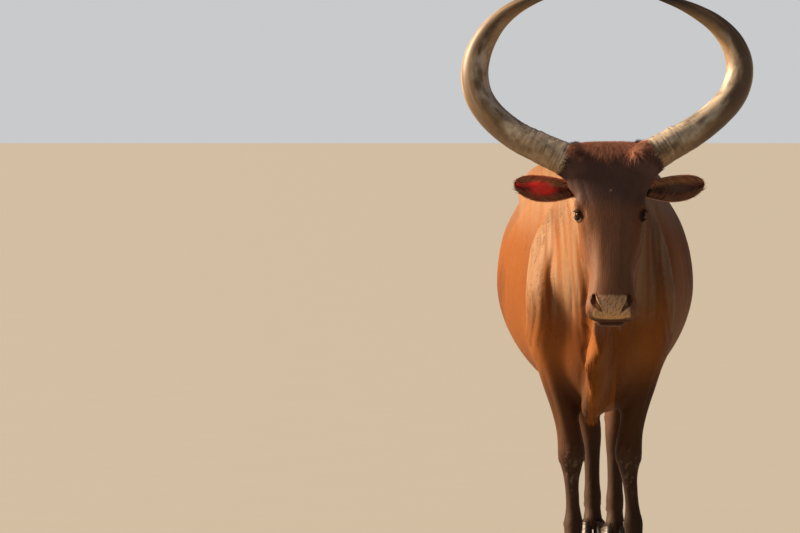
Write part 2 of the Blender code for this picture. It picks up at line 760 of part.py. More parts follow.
def leaf_width(t):
    """The ear's width from root to tip, as a share of its greatest."""
    if t < EAR_WIDEST:
        return 0.56 + 0.44 * math.sin(math.pi / 2 * t / EAR_WIDEST)
    return (1 - ((t - EAR_WIDEST) / (1 - EAR_WIDEST)) ** 2.3) ** 0.55


def ear(name, side, *skins):
    """A leaf-shaped cup that opens to the front, its rim thinner than its root."""
    mirror = Vector((1 if side == "left" else -1, 1, 1))
    root, tip = EAR_ROOT * mirror, EAR_TIP * mirror
    root.x += POLL.x
    tip.x += POLL.x
    along = (tip - root).normalized()
    back = Vector((0, 0.97, 0.18))
    back = (back - along * back.dot(along)).normalized()
    up = along.cross(back) * (-1 if side == "left" else 1)
    if up.z < 0:
        up = -up
    rings = []
    for t in (0.0, 0.12, 0.27, 0.42, 0.56, 0.70, 0.82, 0.91, 0.965):
        half = EAR_HALF_WIDTH * leaf_width(t)
        cup = EAR_CUP * (1.15 - 0.75 * t)
        wall = EAR_THICKNESS * (1.5 - 0.8 * t)
        droop = -0.006 * math.sin(math.pi * t)
        arc = [math.radians(a) for a in range(-78, 79, 26)]
        outer, inner = [], []
        for a in arc:
            spread, depth = math.sin(a), math.cos(a)
            base = root.lerp(tip, t) + up * (half * spread + droop)
            outer.append(base + back * (cup * depth + wall / 2))
            shrunk = root.lerp(tip, t) + up * ((half - wall * 0.6) * spread + droop)
            inner.append(shrunk + back * (cup * depth - wall / 2))
        rings.append(outer + inner[::-1])
    rings.append([tip + back * EAR_CUP * 0.25])
    made = loft(name, rings)
    return combine(made, "DIFFERENCE", [grown(skin, GAP * 2) for skin in skins])


def eye_frame(side):
    """Where the eye sits and how it looks: across is along the lids, out is the line of sight."""
    sign = 1 if side == "left" else -1
    centre = in_head(sign * EYE[0], EYE[1], EYE[2])
    out = Vector((EYE_LOOK[0] * sign, EYE_LOOK[1], EYE_LOOK[2])).normalized()
    across = Vector((0.20 * sign, 0.62, 0.40))
    across = (across - out * across.dot(out)).normalized()
    return centre, out, across, out.cross(across)


def lid_opening(side):
    """An almond prism that clears the skin before the eyeball."""
    centre, out, across, up = eye_frame(side)
    rings = []
    for depth, spread in ((0.004, 0.86), (0.060, 1.35)):
        ring = []
        for k in range(18):
            angle = 2 * math.pi * k / 18
            a = LID_LENGTH / 2 * math.cos(angle)
            b = LID_HEIGHT / 2 * power(math.sin(angle), 1.25)
            ring.append(centre + out * depth + (across * a + up * b) * spread)
        rings.append(ring)
    return loft("lid_opening", rings)


def eyeball(name, side):
    centre = eye_frame(side)[0]
    return ball(name, centre, (EYE_RADIUS,) * 3, sides=14)


def nostril(side):
    sign = 1 if side == "left" else -1
    across, along, out = head_axes()
    turn = Matrix((across, along, out)).transposed().to_4x4()
    lean = Matrix.Rotation(NOSTRIL_LEAN * sign, 4, "Z")
    centre = in_head(sign * NOSTRIL[0], NOSTRIL[1], NOSTRIL[2])
    return ball("nostril", centre, NOSTRIL_RADII, sides=12, turn=turn @ lean)


def mouth_groove(head):
    """A round groove laid along the lips, from one corner of the mouth to the other."""
    half = flowing(MOUTH_LINE, 4)
    line = [(w, u, v) for w, u, v in half] + [(-w, u, v) for w, u, v in half[-2::-1]]
    surface = BVHTree.FromObject(head, bpy.context.evaluated_depsgraph_get())
    path = []
    for w, u, v in line:
        found = surface.find_nearest(in_head(w, u, v))[0]
        path.append(found)
    radii = [MOUTH_GROOVE * min(1.0, 0.25 + min(i, len(path) - 1 - i) * 0.2) for i in range(len(path))]
    return tube("mouth_groove", path, radii, sides=6)


def udder(skin):
    centre, radii = UDDER
    bag = ball("udder", Vector(centre), radii, sides=12)
    teats = []
    for dx in (-0.032, 0.032):
        for dy in (-0.04, 0.035):
            x, y = centre[0] + dx, centre[1] + dy
            z = centre[2] - radii[2] * 0.80
            middle, end = z - TEAT_LENGTH * 0.6, z - TEAT_LENGTH
            path = [(x, y, z + 0.02), (x + dx * 0.12, y, middle), (x + dx * 0.16, y, end)]
            teats.append(tube("teat", path, [TEAT_RADIUS, TEAT_RADIUS * 0.9, TEAT_RADIUS * 0.5], sides=8))
    combine(bag, "UNION", teats)
    return combine(bag, "DIFFERENCE", [grown(skin, UDDER_GAP)])


def lock(root, tip, width, thickness, sway):
    """A flat tapered lock of hair, bent sideways by the sway."""
    ahead = (tip - root).normalized()
    flat = ahead.cross(Vector((sway.y, -sway.x, 0.2))).normalized()
    thin = ahead.cross(flat)
    rings = []
    for t, share in ((0.0, 0.7), (0.35, 1.0), (0.75, 0.7)):
        middle = root.lerp(tip, t) + sway * math.sin(math.pi * t)
        rings.append([
            middle + flat * width * share, middle + thin * thickness * share,
            middle - flat * width * share, middle - thin * thickness * share,
        ])
    rings.append([tip])
    return loft("lock", rings)


def tail_switch():
    """The brush of the tail: a slim core with long flat locks rooted in it."""
    chance = random.Random(7)
    y0, _, x0, _ = TAIL[-1]
    core_bottom = SWITCH_TOP_Z - (SWITCH_TOP_Z - SWITCH_BOTTOM_Z) * 0.5
    path = [(x0, y0, SWITCH_TOP_Z), (x0, y0, SWITCH_TOP_Z - 0.06), (x0, y0, core_bottom)]
    core = tube("tail_switch", path, [0.0122, 0.016, 0.007], sides=10)
    locks = []
    for k in range(SWITCH_LOCKS):
        turn = k * 2.4 + chance.uniform(-0.2, 0.2)
        out = Vector((math.cos(turn), math.sin(turn), 0))
        fall = k / (SWITCH_LOCKS - 1)
        root = Vector((x0, y0, SWITCH_TOP_Z - 0.016 - 0.10 * fall)) + out * 0.005
        reach = SWITCH_RADIUS * chance.uniform(0.35, 0.8)
        bottom = SWITCH_BOTTOM_Z + 0.10 * (1 - fall) * chance.uniform(0.3, 1.2)
        tip = Vector((x0, y0, bottom)) + out * reach * 0.7
        locks.append(lock(root, tip, chance.uniform(0.008, 0.012), 0.0032, out * reach * 0.5))
    return combine(core, "UNION", locks, solver="MANIFOLD")


def dress(obj, stuff, smooth=True):
    obj.data.materials.clear()
    obj.data.materials.append(stuff)
    if smooth:
        obj.data.shade_smooth()
        obj.data.set_sharp_from_angle(angle=math.radians(50))


def lid_balls():
    radius = EYE_RADIUS + LID_THICKNESS
    return [ball("lid_ball", eye_frame(side)[0], (radius,) * 3, sides=20) for side in ("left", "right")]


def head_pieces():
    collars = [horn_collar(side) for side in HORN_SHARE]
    return [head_loft("skull_form", SKULL), head_loft("jaw_form", JAW), neck(), dewlap()] + lid_balls() + collars


def head_space(inset):
    """Everything before the nape and over the throat, in the side view, drawn in by the inset."""
    line = [(y - inset, z + inset) for y, z in THROAT]
    return prism("head_space", [(NAPE_Y - inset, 1.6)] + line + [(-1.6, 1.6)], "X", -0.4, 0.4)


def make_head():
    whole = flesh("head", HEAD_VOXEL, head_pieces())
    shape_head(whole)
    thin_out(whole, HEAD_TRIANGLES)
    return combine(whole, "INTERSECT", [head_space(GAP)])


def make_body_parts():
    """The trunk, neck, dewlap and legs, parted from one fused body, and that body itself as the shell."""
    pieces = [trunk()] + [leg(name) for name in STEPS] + head_pieces()
    rest = flesh("trunk", BODY_VOXEL, pieces + [tail_tube("root", 0, 6, TAIL_COLLAR)])
    shape_body(rest)
    shape_head(rest)
    combine(rest, "DIFFERENCE", [head_space(0.0)])
    thin_out(rest, BODY_TRIANGLES)
    shell = copy_of(rest, "body_shell")
    parts = {}
    for name in STEPS:
        parts["leg_" + name] = split(rest, "leg_" + name, leg_region(name))
    parts["dewlap"] = split(rest, "dewlap", prism("dewlap_space", DEWLAP_SPACE, "X", -0.10, 0.10))
    parts["neck"] = split(rest, "neck", prism("neck_space", NECK_SPACE, "X", -0.4, 0.4))
    parts["trunk"] = rest
    return parts, shell


def open_face(head):
    """Cuts the eye sockets with their lids, the nostrils and the line of the mouth."""
    cutters = []
    for side in ("left", "right"):
        socket = ball("socket", eye_frame(side)[0], (EYE_RADIUS + GAP * 2,) * 3, sides=20)
        cutters.append(combine(socket, "UNION", [lid_opening(side)]))
        cutters.append(nostril(side))
    cutters.append(mouth_groove(head))
    for cutter in cutters:
        combine(head, "DIFFERENCE", [cutter])


def stand_at_origin(objects):
    """Moves all meshes so that the middle of the whole box stands on the origin."""
    corners = np.vstack([points_of(obj) for obj in objects])
    middle = (corners.min(axis=0) + corners.max(axis=0)) / 2
    shift = Matrix.Translation((-middle[0], -middle[1], -corners[:, 2].min()))
    for obj in objects:
        obj.data.transform(shift)


def main():
    clear_scene()
    coat = material("coat", COAT)
    horn_stuff = material("horn", HORN_STUFF)
    hoof_stuff = material("hoof", HOOF_STUFF)
    eye_stuff = material("eye", EYE_STUFF)
    switch_stuff = material("switch", SWITCH_STUFF)
    udder_stuff = material("udder", UDDER_STUFF)

    parts, body_shell = make_body_parts()
    head = make_head()
    shell = copy_of(head, "shell")
    open_face(head)
    parts["head"] = head
    for part in parts.values():
        dress(part, coat)
    made = list(parts.values())
    for side in ("left", "right"):
        grows = [(horn("horn_" + side, side, shell), horn_stuff),
                 (ear("ear_" + side, side, shell, body_shell), coat),
                 (eyeball("eye_" + side, side), eye_stuff)]
        for obj, stuff in grows:
            dress(obj, stuff)
            made.append(obj)
    discard(shell)
    for name in STEPS:
        rows = leg_rows(name)
        foot_x, foot_y = rows[-1][1:3]
        for place, sign in (("inner", -1), ("outer", 1)):
            side = sign * STEPS[name][0]
            label = f"{name}_{place}"
            pieces = [claw("claw_" + label, foot_x, foot_y, side),
                      dewclaw("dewclaw_" + label, rows, side, body_shell)]
            for obj in pieces:
                dress(obj, hoof_stuff)
                made.append(obj)
    tail = tail_tube("tail", 3, 22)
    combine(tail, "DIFFERENCE", [grown(body_shell, GAP * 2)])
    brush = tail_switch()
    top = [(0.5, SWITCH_TOP_Z - GAP), (0.5, 1.3), (1.3, 1.3), (1.3, SWITCH_TOP_Z - GAP)]
    below = [(0.5, SWITCH_TOP_Z), (0.5, -0.5), (1.3, -0.5), (1.3, SWITCH_TOP_Z)]
    combine(tail, "DIFFERENCE", [prism("below", below, "X", -0.3, 0.3)])
    combine(brush, "DIFFERENCE", [prism("top", top, "X", -0.3, 0.3)])
    bag = udder(body_shell)
    discard(body_shell)
    for obj, stuff in ((tail, coat), (brush, switch_stuff), (bag, udder_stuff)):
        dress(obj, stuff)
        made.append(obj)
    stand_at_origin(made)


main()
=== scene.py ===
import math

import bmesh
import bpy
import numpy as np
from mathutils import Matrix, Vector
from mathutils.bvhtree import BVHTree


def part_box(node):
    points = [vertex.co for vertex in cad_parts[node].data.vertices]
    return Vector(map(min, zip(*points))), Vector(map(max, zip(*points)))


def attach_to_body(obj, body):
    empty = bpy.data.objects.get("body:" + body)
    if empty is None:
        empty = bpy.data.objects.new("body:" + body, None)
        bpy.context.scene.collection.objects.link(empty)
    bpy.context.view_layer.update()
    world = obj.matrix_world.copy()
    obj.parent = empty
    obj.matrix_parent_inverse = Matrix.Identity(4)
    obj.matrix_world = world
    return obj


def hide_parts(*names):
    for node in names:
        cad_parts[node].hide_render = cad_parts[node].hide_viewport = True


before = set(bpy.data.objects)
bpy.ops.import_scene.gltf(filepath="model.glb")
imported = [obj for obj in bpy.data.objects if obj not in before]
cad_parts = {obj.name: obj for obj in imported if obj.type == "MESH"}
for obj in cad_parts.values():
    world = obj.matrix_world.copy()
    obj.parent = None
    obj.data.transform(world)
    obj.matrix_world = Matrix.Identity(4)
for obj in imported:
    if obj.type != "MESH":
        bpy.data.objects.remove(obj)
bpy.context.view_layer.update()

# A standing longhorn cow of the Ankole-Watusi kind: one fine skin over all the flesh, a coat of short tufts,
# and finer horns, ears, eyes, lids, hooves and tail hair in place of the plain solids.
# Sizes are metres in the cow's own frame, with the poll at y = -1. placed() moves a finished piece onto the
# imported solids.

sides = {"left": 1, "right": -1}


# Camera: a long lens a little above the back, as far off as the photo's perspective says

cameraPlan = {
    "place": (-0.6275, -19.268, 1.32),
    "tiltDown": 1.17,
    "focalPixels": 6105,
    "frameWidth": 800,
    "sensor": 36.0,
    "farthest": 8000.0,
}


def makeCamera():
    plan = cameraPlan
    lens = bpy.data.cameras.new("camera")
    lens.sensor_width = plan["sensor"]
    lens.lens = plan["sensor"] * plan["focalPixels"] / plan["frameWidth"]
    lens.clip_end = plan["farthest"]
    camera = bpy.data.objects.new("camera", lens)
    camera.location = plan["place"]
    camera.rotation_euler = (math.radians(90 - plan["tiltDown"]), 0, 0)
    bpy.context.scene.collection.objects.link(camera)
    bpy.context.scene.camera = camera


makeCamera()
print("camera set")


# Shaders: a Wire is a socket that takes part in sums

class Wire:
    def __init__(self, tree, socket):
        self.tree = tree
        self.socket = socket

    # Any node: its settings first, then what its sockets hold or are linked to
    def node(self, kind, settings, inputs, output=0):
        made = self.tree.nodes.new(kind)
        for name, value in settings.items():
            setattr(made, name, value)
        for name, value in inputs.items():
            if isinstance(value, Wire):
                self.tree.links.new(value.socket, made.inputs[name])
            else:
                made.inputs[name].default_value = value
        return Wire(self.tree, made.outputs[output])

    def sum(self, operation, first, second):
        return self.node("ShaderNodeMath", {"operation": operation}, {0: first, 1: second})

    def __add__(self, other):
        return self.sum("ADD", self, other)

    __radd__ = __add__

    def __mul__(self, other):
        return self.sum("MULTIPLY", self, other)

    __rmul__ = __mul__

    def __sub__(self, other):
        return self.sum("SUBTRACT", self, other)

    def __rsub__(self, other):
        return self.sum("SUBTRACT", other, self)

    def __pow__(self, other):
        return self.sum("POWER", self, other)

    # From 0 to 1 as the value goes from low to high, softly
    def between(self, low, high):
        return self.node("ShaderNodeMapRange", {"interpolation_type": "SMOOTHSTEP"},
                         {"Value": self, "From Min": low, "From Max": high})

    # This value as the share of the second colour
    def mix(self, first, second):
        paints = [paint if isinstance(paint, Wire) else (*paint, 1.0) for paint in (first, second)]
        sockets = {0: self, 6: paints[0], 7: paints[1]}
        return self.node("ShaderNodeMix", {"data_type": "RGBA"}, sockets, output=2)

    # This value as a colour's brightness
    def tint(self, colour):
        grey = self.node("ShaderNodeCombineColor", {}, {0: self, 1: self, 2: self})
        return self.node("ShaderNodeMix", {"data_type": "RGBA", "blend_type": "MULTIPLY"},
                         {0: 1.0, 6: colour, 7: grey}, output=2)

    def attribute(self, name, output="Vector"):
        return self.node("ShaderNodeAttribute", {"attribute_name": name}, {}, output=output)

    def tone(self):
        return self.attribute("tone", output="Color")

    def place(self):
        return self.node("ShaderNodeTexCoord", {}, {}, output="Object")

    def noise(self, vector, scale, detail=3.0, rough=0.55):
        return self.node("ShaderNodeTexNoise", {}, {"Vector": vector, "Scale": scale, "Detail": detail,
                                                    "Roughness": rough})

    # Noise with a scale of its own along each axis
    def fibres(self, vector, scales, detail=3.0, rough=0.55):
        spot = self.node("ShaderNodeVectorMath", {"operation": "MULTIPLY"}, {0: vector, 1: scales})
        return self.noise(spot, 1.0, detail, rough)

    def cells(self, vector, scale):
        return self.node("ShaderNodeTexVoronoi", {}, {"Vector": vector, "Scale": scale})

    def bump(self, height, distance, strength):
        return self.node("ShaderNodeBump", {}, {"Height": height, "Distance": distance, "Strength": strength})


# A material's shader with its constant sockets set, and a wire to build on
def finish(name, **constants):
    made = bpy.data.materials.new(name)
    made.use_nodes = True
    shader = made.node_tree.nodes["Principled BSDF"]
    for socket, value in constants.items():
        shader.inputs[socket.replace("_", " ")].default_value = value
    return made, Wire(made.node_tree, shader.outputs[0])


def connect(material, **sockets):
    shader = material.node_tree.nodes["Principled BSDF"]
    for socket, wire in sockets.items():
        material.node_tree.links.new(wire.socket, shader.inputs[socket.replace("_", " ")])
    return material


# Small helpers for numbers and shapes

def ramp(value, low, high):
    share = np.clip((value - low) / (high - low), 0, 1)
    return share * share * (3 - 2 * share)


def unit(vectors):
    return vectors / np.maximum(np.linalg.norm(vectors, axis=-1, keepdims=True), 1e-9)


def alongSkin(lies, normals):
    return unit(lies - normals * (lies * normals).sum(1, keepdims=True))


def power(value, exponent):
    return np.sign(value) * np.abs(value) ** exponent


def turns(count):
    return np.arange(count) * 2 * np.pi / count


def blend(first, second, share):
    return np.array(first) * (1 - share) + np.array(second) * share


def between(draw, bounds, count):
    return draw.uniform(bounds[0], bounds[1], count)


# Soft noise about -1 to 1: a few plane waves in random directions
def wavy(points, waveLength, seed, waves=7):
    draw = np.random.default_rng(seed)
    total = np.zeros(len(points))
    for _ in range(waves):
        direction = unit(draw.normal(size=3)) * draw.uniform(0.7, 1.6)
        total += np.sin(points @ direction * 2 * np.pi / waveLength + draw.uniform(0, 2 * np.pi))
    return total / math.sqrt(waves)


# The rows with smooth rows between each two: a Catmull-Rom curve through every column
def flowing(rows, steps):
    rows = np.array(rows, float)
    padded = np.vstack([2 * rows[0] - rows[1], rows, 2 * rows[-1] - rows[-2]])
    made = []
    for p0, p1, p2, p3 in zip(padded, padded[1:], padded[2:], padded[3:]):
        for t in np.arange(steps) / steps:
            bend = (2 * p0 - 5 * p1 + 4 * p2 - p3) * t**2
            twist = (3 * p1 - p0 - 3 * p2 + p3) * t**3
            made.append(0.5 * (2 * p1 + (p2 - p0) * t + bend + twist))
    return np.array([*made, rows[-1]])


# A ring between a top and a bottom point (y, z) of the side view, its two halves as full as asked
def sideRing(top, bottom, halfWidth, wideAt, fullUp, fullDown, x=0.0, edgeX=None, count=44):
    turn = turns(count)
    across, along = np.cos(turn), np.sin(turn)
    upper = along >= 0
    fullness = np.where(upper, fullUp, fullDown)
    reach = np.abs(along) ** (2 / fullness)
    top, bottom = np.array([0.0, *top]), np.array([0.0, *bottom])
    middle = bottom + (top - bottom) * wideAt
    ring = middle + np.where(upper[:, None], top - middle, bottom - middle) * reach[:, None]
    edgeX = x if edgeX is None else edgeX
    ring[:, 0] = halfWidth * power(across, 2 / fullness) + x + np.where(upper, 0.0, (edgeX - x) * reach)
    return ring


# Rings of equal count as one closed shape with flat ends
def loft(rings):
    rings = np.array(rings)
    rows, count = rings.shape[:2]
    grid = np.arange(rows * count).reshape(rows, count)
    near, far = grid[:-1], grid[1:]
    quads = np.stack([near, np.roll(near, -1, 1), np.roll(far, -1, 1), far], -1).reshape(-1, 4)
    return rings.reshape(-1, 3), [*quads.tolist(), grid[0][::-1].tolist(), grid[-1].tolist()]


# A tube along a path, its rings kept untwisted; each ring's radius may differ from side to side
def tubeRings(path, radii, count):
    path = np.array(path, float)
    ahead = unit(np.gradient(path, axis=0))
    side = unit(np.cross(ahead[0], (0.31, 0.27, 0.91)))
    turn = turns(count)
    rings = []
    for point, forward, radius in zip(path, ahead, radii):
        side = unit(side - forward * (side @ forward))
        other = np.cross(forward, side)
        spoke = np.outer(np.cos(turn), side) + np.outer(np.sin(turn), other)
        rings.append(point + spoke * np.reshape(radius, (-1, 1)))
    return np.array(rings)


def ball(centre, radius, count=24):
    rings = []
    for k in range(1, count // 2):
        polar = math.pi * k / (count // 2)
        turn = turns(count)
        ring = np.stack([np.sin(polar) * np.cos(turn), np.sin(polar) * np.sin(turn),
                         np.full(count, math.cos(polar))], -1)
        rings.append(np.array(centre) + ring * np.array(radius))
    return loft(rings)


# Changes a mesh through its edges and faces
def reshape(mesh, change):
    shape = bmesh.new()
    shape.from_mesh(mesh)
    change(shape)
    shape.to_mesh(mesh)
    shape.free()


def faceOut(shape):
    bmesh.ops.recalc_face_normals(shape, faces=shape.faces)


# One mesh object from several closed shapes, with its faces turned outwards
def build(name, shapes):
    points, faces, first = [], [], 0
    for places, corners in shapes:
        points.append(places)
        faces += [[first + k for k in face] for face in corners]
        first += len(places)
    mesh = bpy.data.meshes.new(name)
    mesh.from_pydata(np.vstack(points).tolist(), [], faces)
    reshape(mesh, faceOut)
    return linked(name, mesh)


# The same from plain arrays of points and triangles, for the many small pieces
def buildFine(name, points, triangles):
    mesh = bpy.data.meshes.new(name)
    mesh.vertices.add(len(points))
    mesh.vertices.foreach_set("co", points.astype(np.float32).ravel())
    mesh.loops.add(triangles.size)
    mesh.loops.foreach_set("vertex_index", triangles.astype(np.int32).ravel())
    mesh.polygons.add(len(triangles))
    mesh.polygons.foreach_set("loop_start", np.arange(0, triangles.size, 3, dtype=np.int32))
    mesh.update(calc_edges=True)
    return linked(name, mesh)


def linked(name, mesh):
    made = bpy.data.objects.new(name, mesh)
    bpy.context.scene.collection.objects.link(made)
    return made


def settle(obj):
    graph = bpy.context.evaluated_depsgraph_get()
    mesh = bpy.data.meshes.new_from_object(obj.evaluated_get(graph))
    obj.modifiers.clear()
    obj.data = mesh


def pointsOf(obj, what="co"):
    flat = np.empty(len(obj.data.vertices) * 3, np.float32)
    obj.data.vertices.foreach_get(what, flat)
    return flat.reshape(-1, 3).astype(float)


def putPoints(obj, points):
    obj.data.vertices.foreach_set("co", points.astype(np.float32).ravel())
    obj.data.update()


def edgesOf(obj):
    flat = np.empty(len(obj.data.edges) * 2, np.int32)
    obj.data.edges.foreach_get("vertices", flat)
    return flat.reshape(-1, 2)


# A value, a vector or a colour for each point, told apart by how many numbers it has
def attach(obj, name, values):
    each = values.size // len(obj.data.vertices)
    kind, field = {1: ("FLOAT", "value"), 3: ("FLOAT_VECTOR", "vector"), 4: ("FLOAT_COLOR", "color")}[each]
    made = obj.data.attributes.new(name, kind, "POINT")
    made.data.foreach_set(field, np.ascontiguousarray(values, np.float32).ravel())


def colourOf(values):
    return np.hstack([values, np.ones((len(values), 1))])


# Moves each point towards the middle of its neighbours, each by its own share
def relax(obj, share, rounds):
    points = pointsOf(obj)
    first, second = edgesOf(obj).T
    count = len(points)
    near = np.bincount(first, minlength=count) + np.bincount(second, minlength=count)
    for _ in range(rounds):
        total = [np.bincount(first, points[second, k], count) + np.bincount(second, points[first, k], count)
                 for k in range(3)]
        points += (np.stack(total, -1) / near[:, None] - points) * share[:, None]
    putPoints(obj, points)


# How high a soft swelling raises each point
def swelling(points, centre, reaches, height):
    spans = (points - np.array(centre)) / np.array(reaches)
    return height * np.clip(1 - (spans**2).sum(1), 0, 1) ** 2


# How high a ridge, or with a negative height a groove, along a path raises each point
def ridge(points, path, width, height, endFade=0.5):
    path = np.array(path, float)
    raised = np.zeros(len(points))
    margin = 3 * width
    close = ((points > path.min(0) - margin) & (points < path.max(0) + margin)).all(1)
    nearby = points[close]
    best, place = np.full(len(nearby), 9.0), np.zeros(len(nearby))
    for k, (start, end) in enumerate(zip(path, path[1:])):
        span = end - start
        t = np.clip((nearby - start) @ span / (span @ span), 0, 1)
        gap = np.linalg.norm(nearby - start - t[:, None] * span, axis=1)
        closer = gap < best
        best[closer], place[closer] = gap[closer], (k + t[closer]) / (len(path) - 1)
    fade = np.clip(np.sin(np.pi * np.clip(place, 0.01, 0.99)), 0, 1) ** endFade
    raised[close] = height * np.exp(-((best / width) ** 2)) * fade
    return raised


def push(obj, heights):
    putPoints(obj, pointsOf(obj) + pointsOf(obj, "normal") * heights[:, None])


# The head's own frame: w to the cow's left, u from the poll to the muzzle, v out of the forehead

headPlan = {
    "poll": (0.013, -1.0, 1.305),
    "tilt": 28.0,
    "turn": -0.5,
    # u, top v, bottom v, half width, v share of the widest line, fullness up and down
    "skull": [
        (-0.04, -0.03, -0.12, 0.096, 0.55, 3.0, 2.2),
        (-0.02, -0.006, -0.15, 0.12, 0.62, 3.6, 2.0),
        (0.02, 0.004, -0.175, 0.132, 0.68, 4.2, 1.9),
        (0.06, 0.006, -0.19, 0.137, 0.71, 3.8, 1.8),
        (0.1, 0.003, -0.2, 0.129, 0.72, 3.0, 1.8),
        (0.15, -0.001, -0.205, 0.111, 0.74, 2.7, 1.8),
        (0.2, -0.004, -0.2, 0.105, 0.74, 2.7, 1.8),
        (0.24, -0.007, -0.19, 0.102, 0.72, 2.6, 1.8),
        (0.29, -0.01, -0.172, 0.094, 0.66, 2.3, 1.9),
        (0.34, -0.011, -0.152, 0.083, 0.6, 2.2, 2.0),
        (0.39, -0.011, -0.132, 0.073, 0.55, 2.2, 2.1),
        (0.43, -0.011, -0.117, 0.071, 0.5, 2.2, 2.2),
        (0.47, -0.012, -0.107, 0.075, 0.46, 2.3, 2.3),
        (0.505, -0.016, -0.102, 0.08, 0.45, 2.4, 2.4),
        (0.53, -0.028, -0.1, 0.078, 0.45, 2.5, 2.4),
        (0.548, -0.044, -0.094, 0.066, 0.48, 2.6, 2.4),
    ],
    "jaw": [
        (0.15, -0.08, -0.2, 0.05, 0.5, 2.0, 2.0),
        (0.2, -0.09, -0.228, 0.064, 0.5, 2.0, 2.0),
        (0.26, -0.09, -0.226, 0.066, 0.5, 2.0, 2.0),
        (0.32, -0.085, -0.198, 0.058, 0.5, 2.0, 2.0),
        (0.38, -0.08, -0.166, 0.048, 0.5, 2.0, 2.0),
        (0.43, -0.075, -0.145, 0.043, 0.5, 2.0, 2.0),
        (0.47, -0.08, -0.139, 0.048, 0.45, 2.2, 2.2),
        (0.5, -0.086, -0.138, 0.052, 0.45, 2.3, 2.3),
        (0.53, -0.09, -0.136, 0.05, 0.45, 2.4, 2.4),
        (0.548, -0.096, -0.127, 0.036, 0.45, 2.4, 2.4),
    ],
}


def headFrame():
    tilt = math.radians(headPlan["tilt"])
    turn = Matrix.Rotation(math.radians(headPlan["turn"]), 3, "Z")
    axes = [(1, 0, 0), (0, -math.sin(tilt), -math.cos(tilt)), (0, -math.cos(tilt), math.sin(tilt))]
    return np.array([turn @ Vector(axis) for axis in axes])


headAxes = headFrame()
poll = np.array(headPlan["poll"])


def inHead(wuv):
    return poll + np.array(wuv, float) @ headAxes


def headPlace(points):
    return (points - poll) @ headAxes.T


def headLoft(rows):
    rings = []
    for u, top, bottom, halfWidth, wideAt, fullUp, fullDown in flowing(rows, 5):
        flat = sideRing((top, 0), (bottom, 0), halfWidth, wideAt, fullUp, fullDown, count=48)
        rings.append(inHead(np.stack([flat[:, 0], np.full(len(flat), u), flat[:, 1]], -1)))
    return loft(rings)


# Where an eye sits and how it looks: across along the lids, up over them, out along its sight

eyePlan = {
    "centre": (0.087, 0.212, -0.046),
    "radius": 0.0195,
    "lidThickness": 0.0052,
    "look": (0.86, -0.5, 0.06),
    "across": (0.2, 0.62, 0.4),
    "opening": (0.019, 0.012),
    "openingOut": 0.016,
    "skinBehind": 0.0035,
}


def eyeFrame(side):
    sign = sides[side]
    w, u, v = eyePlan["centre"]
    centre = inHead((sign * w, u, v))
    out = unit(np.array(eyePlan["look"]) * (sign, 1, 1))
    across = np.array(eyePlan["across"]) * (sign, 1, 1)
    across = unit(across - out * (across @ out))
    up = np.cross(out, across)
    return centre, np.array([across, up if up[2] > 0 else -up, out])


packedEye = np.array([list(corner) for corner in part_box("eye_left")]).mean(0)
shift = packedEye - eyeFrame("left")[0]


# Moves a finished piece onto the imported solids, gives it its material, ties it to the body and hides the
# solids that it stands for
def placed(obj, material, slot, *nodes):
    obj.data.transform(Matrix.Translation(shift))
    obj.data.materials.clear()
    obj.data.materials.append(material)
    obj.data.shade_smooth()
    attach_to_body(obj, "root")
    if nodes:
        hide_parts(*nodes)


# The body's plain forms, which the skin is fused from

trunkPlan = {
    # y, top z, bottom z, half width, z share of the widest line, upper and lower fullness
    "rows": [
        (-0.7, 0.99, 0.68, 0.06, 0.45, 2.0, 2.0),
        (-0.66, 1.06, 0.6, 0.11, 0.45, 2.0, 2.0),
        (-0.58, 1.15, 0.522, 0.15, 0.46, 2.0, 1.9),
        (-0.48, 1.225, 0.48, 0.18, 0.48, 1.9, 2.0),
        (-0.35, 1.268, 0.475, 0.215, 0.48, 1.8, 2.0),
        (-0.2, 1.264, 0.482, 0.257, 0.49, 1.9, 1.9),
        (-0.02, 1.246, 0.492, 0.301, 0.48, 2.0, 1.78),
        (0.15, 1.244, 0.496, 0.318, 0.49, 2.1, 1.75),
        (0.3, 1.262, 0.522, 0.301, 0.5, 2.4, 1.78),
        (0.44, 1.285, 0.58, 0.252, 0.53, 2.8, 1.9),
        (0.56, 1.284, 0.65, 0.226, 0.58, 2.5, 2.0),
        (0.68, 1.262, 0.69, 0.202, 0.6, 2.3, 2.0),
        (0.78, 1.225, 0.76, 0.168, 0.6, 2.1, 2.0),
        (0.86, 1.16, 0.85, 0.122, 0.58, 2.0, 2.0),
        (0.905, 1.095, 0.95, 0.06, 0.5, 2.0, 2.0),
    ],
    "x": 0.005,
}

neckPlan = {
    # top y and z, bottom y and z, half width
    "rows": [
        (-0.3, 1.25, -0.62, 0.62, 0.165),
        (-0.42, 1.282, -0.715, 0.72, 0.15),
        (-0.55, 1.3, -0.775, 0.82, 0.122),
        (-0.68, 1.305, -0.825, 0.9, 0.101),
        (-0.8, 1.306, -0.87, 0.965, 0.09),
        (-0.9, 1.305, -0.925, 1.01, 0.086),
        (-0.99, 1.28, -1.000, 1.05, 0.08),
    ],
}

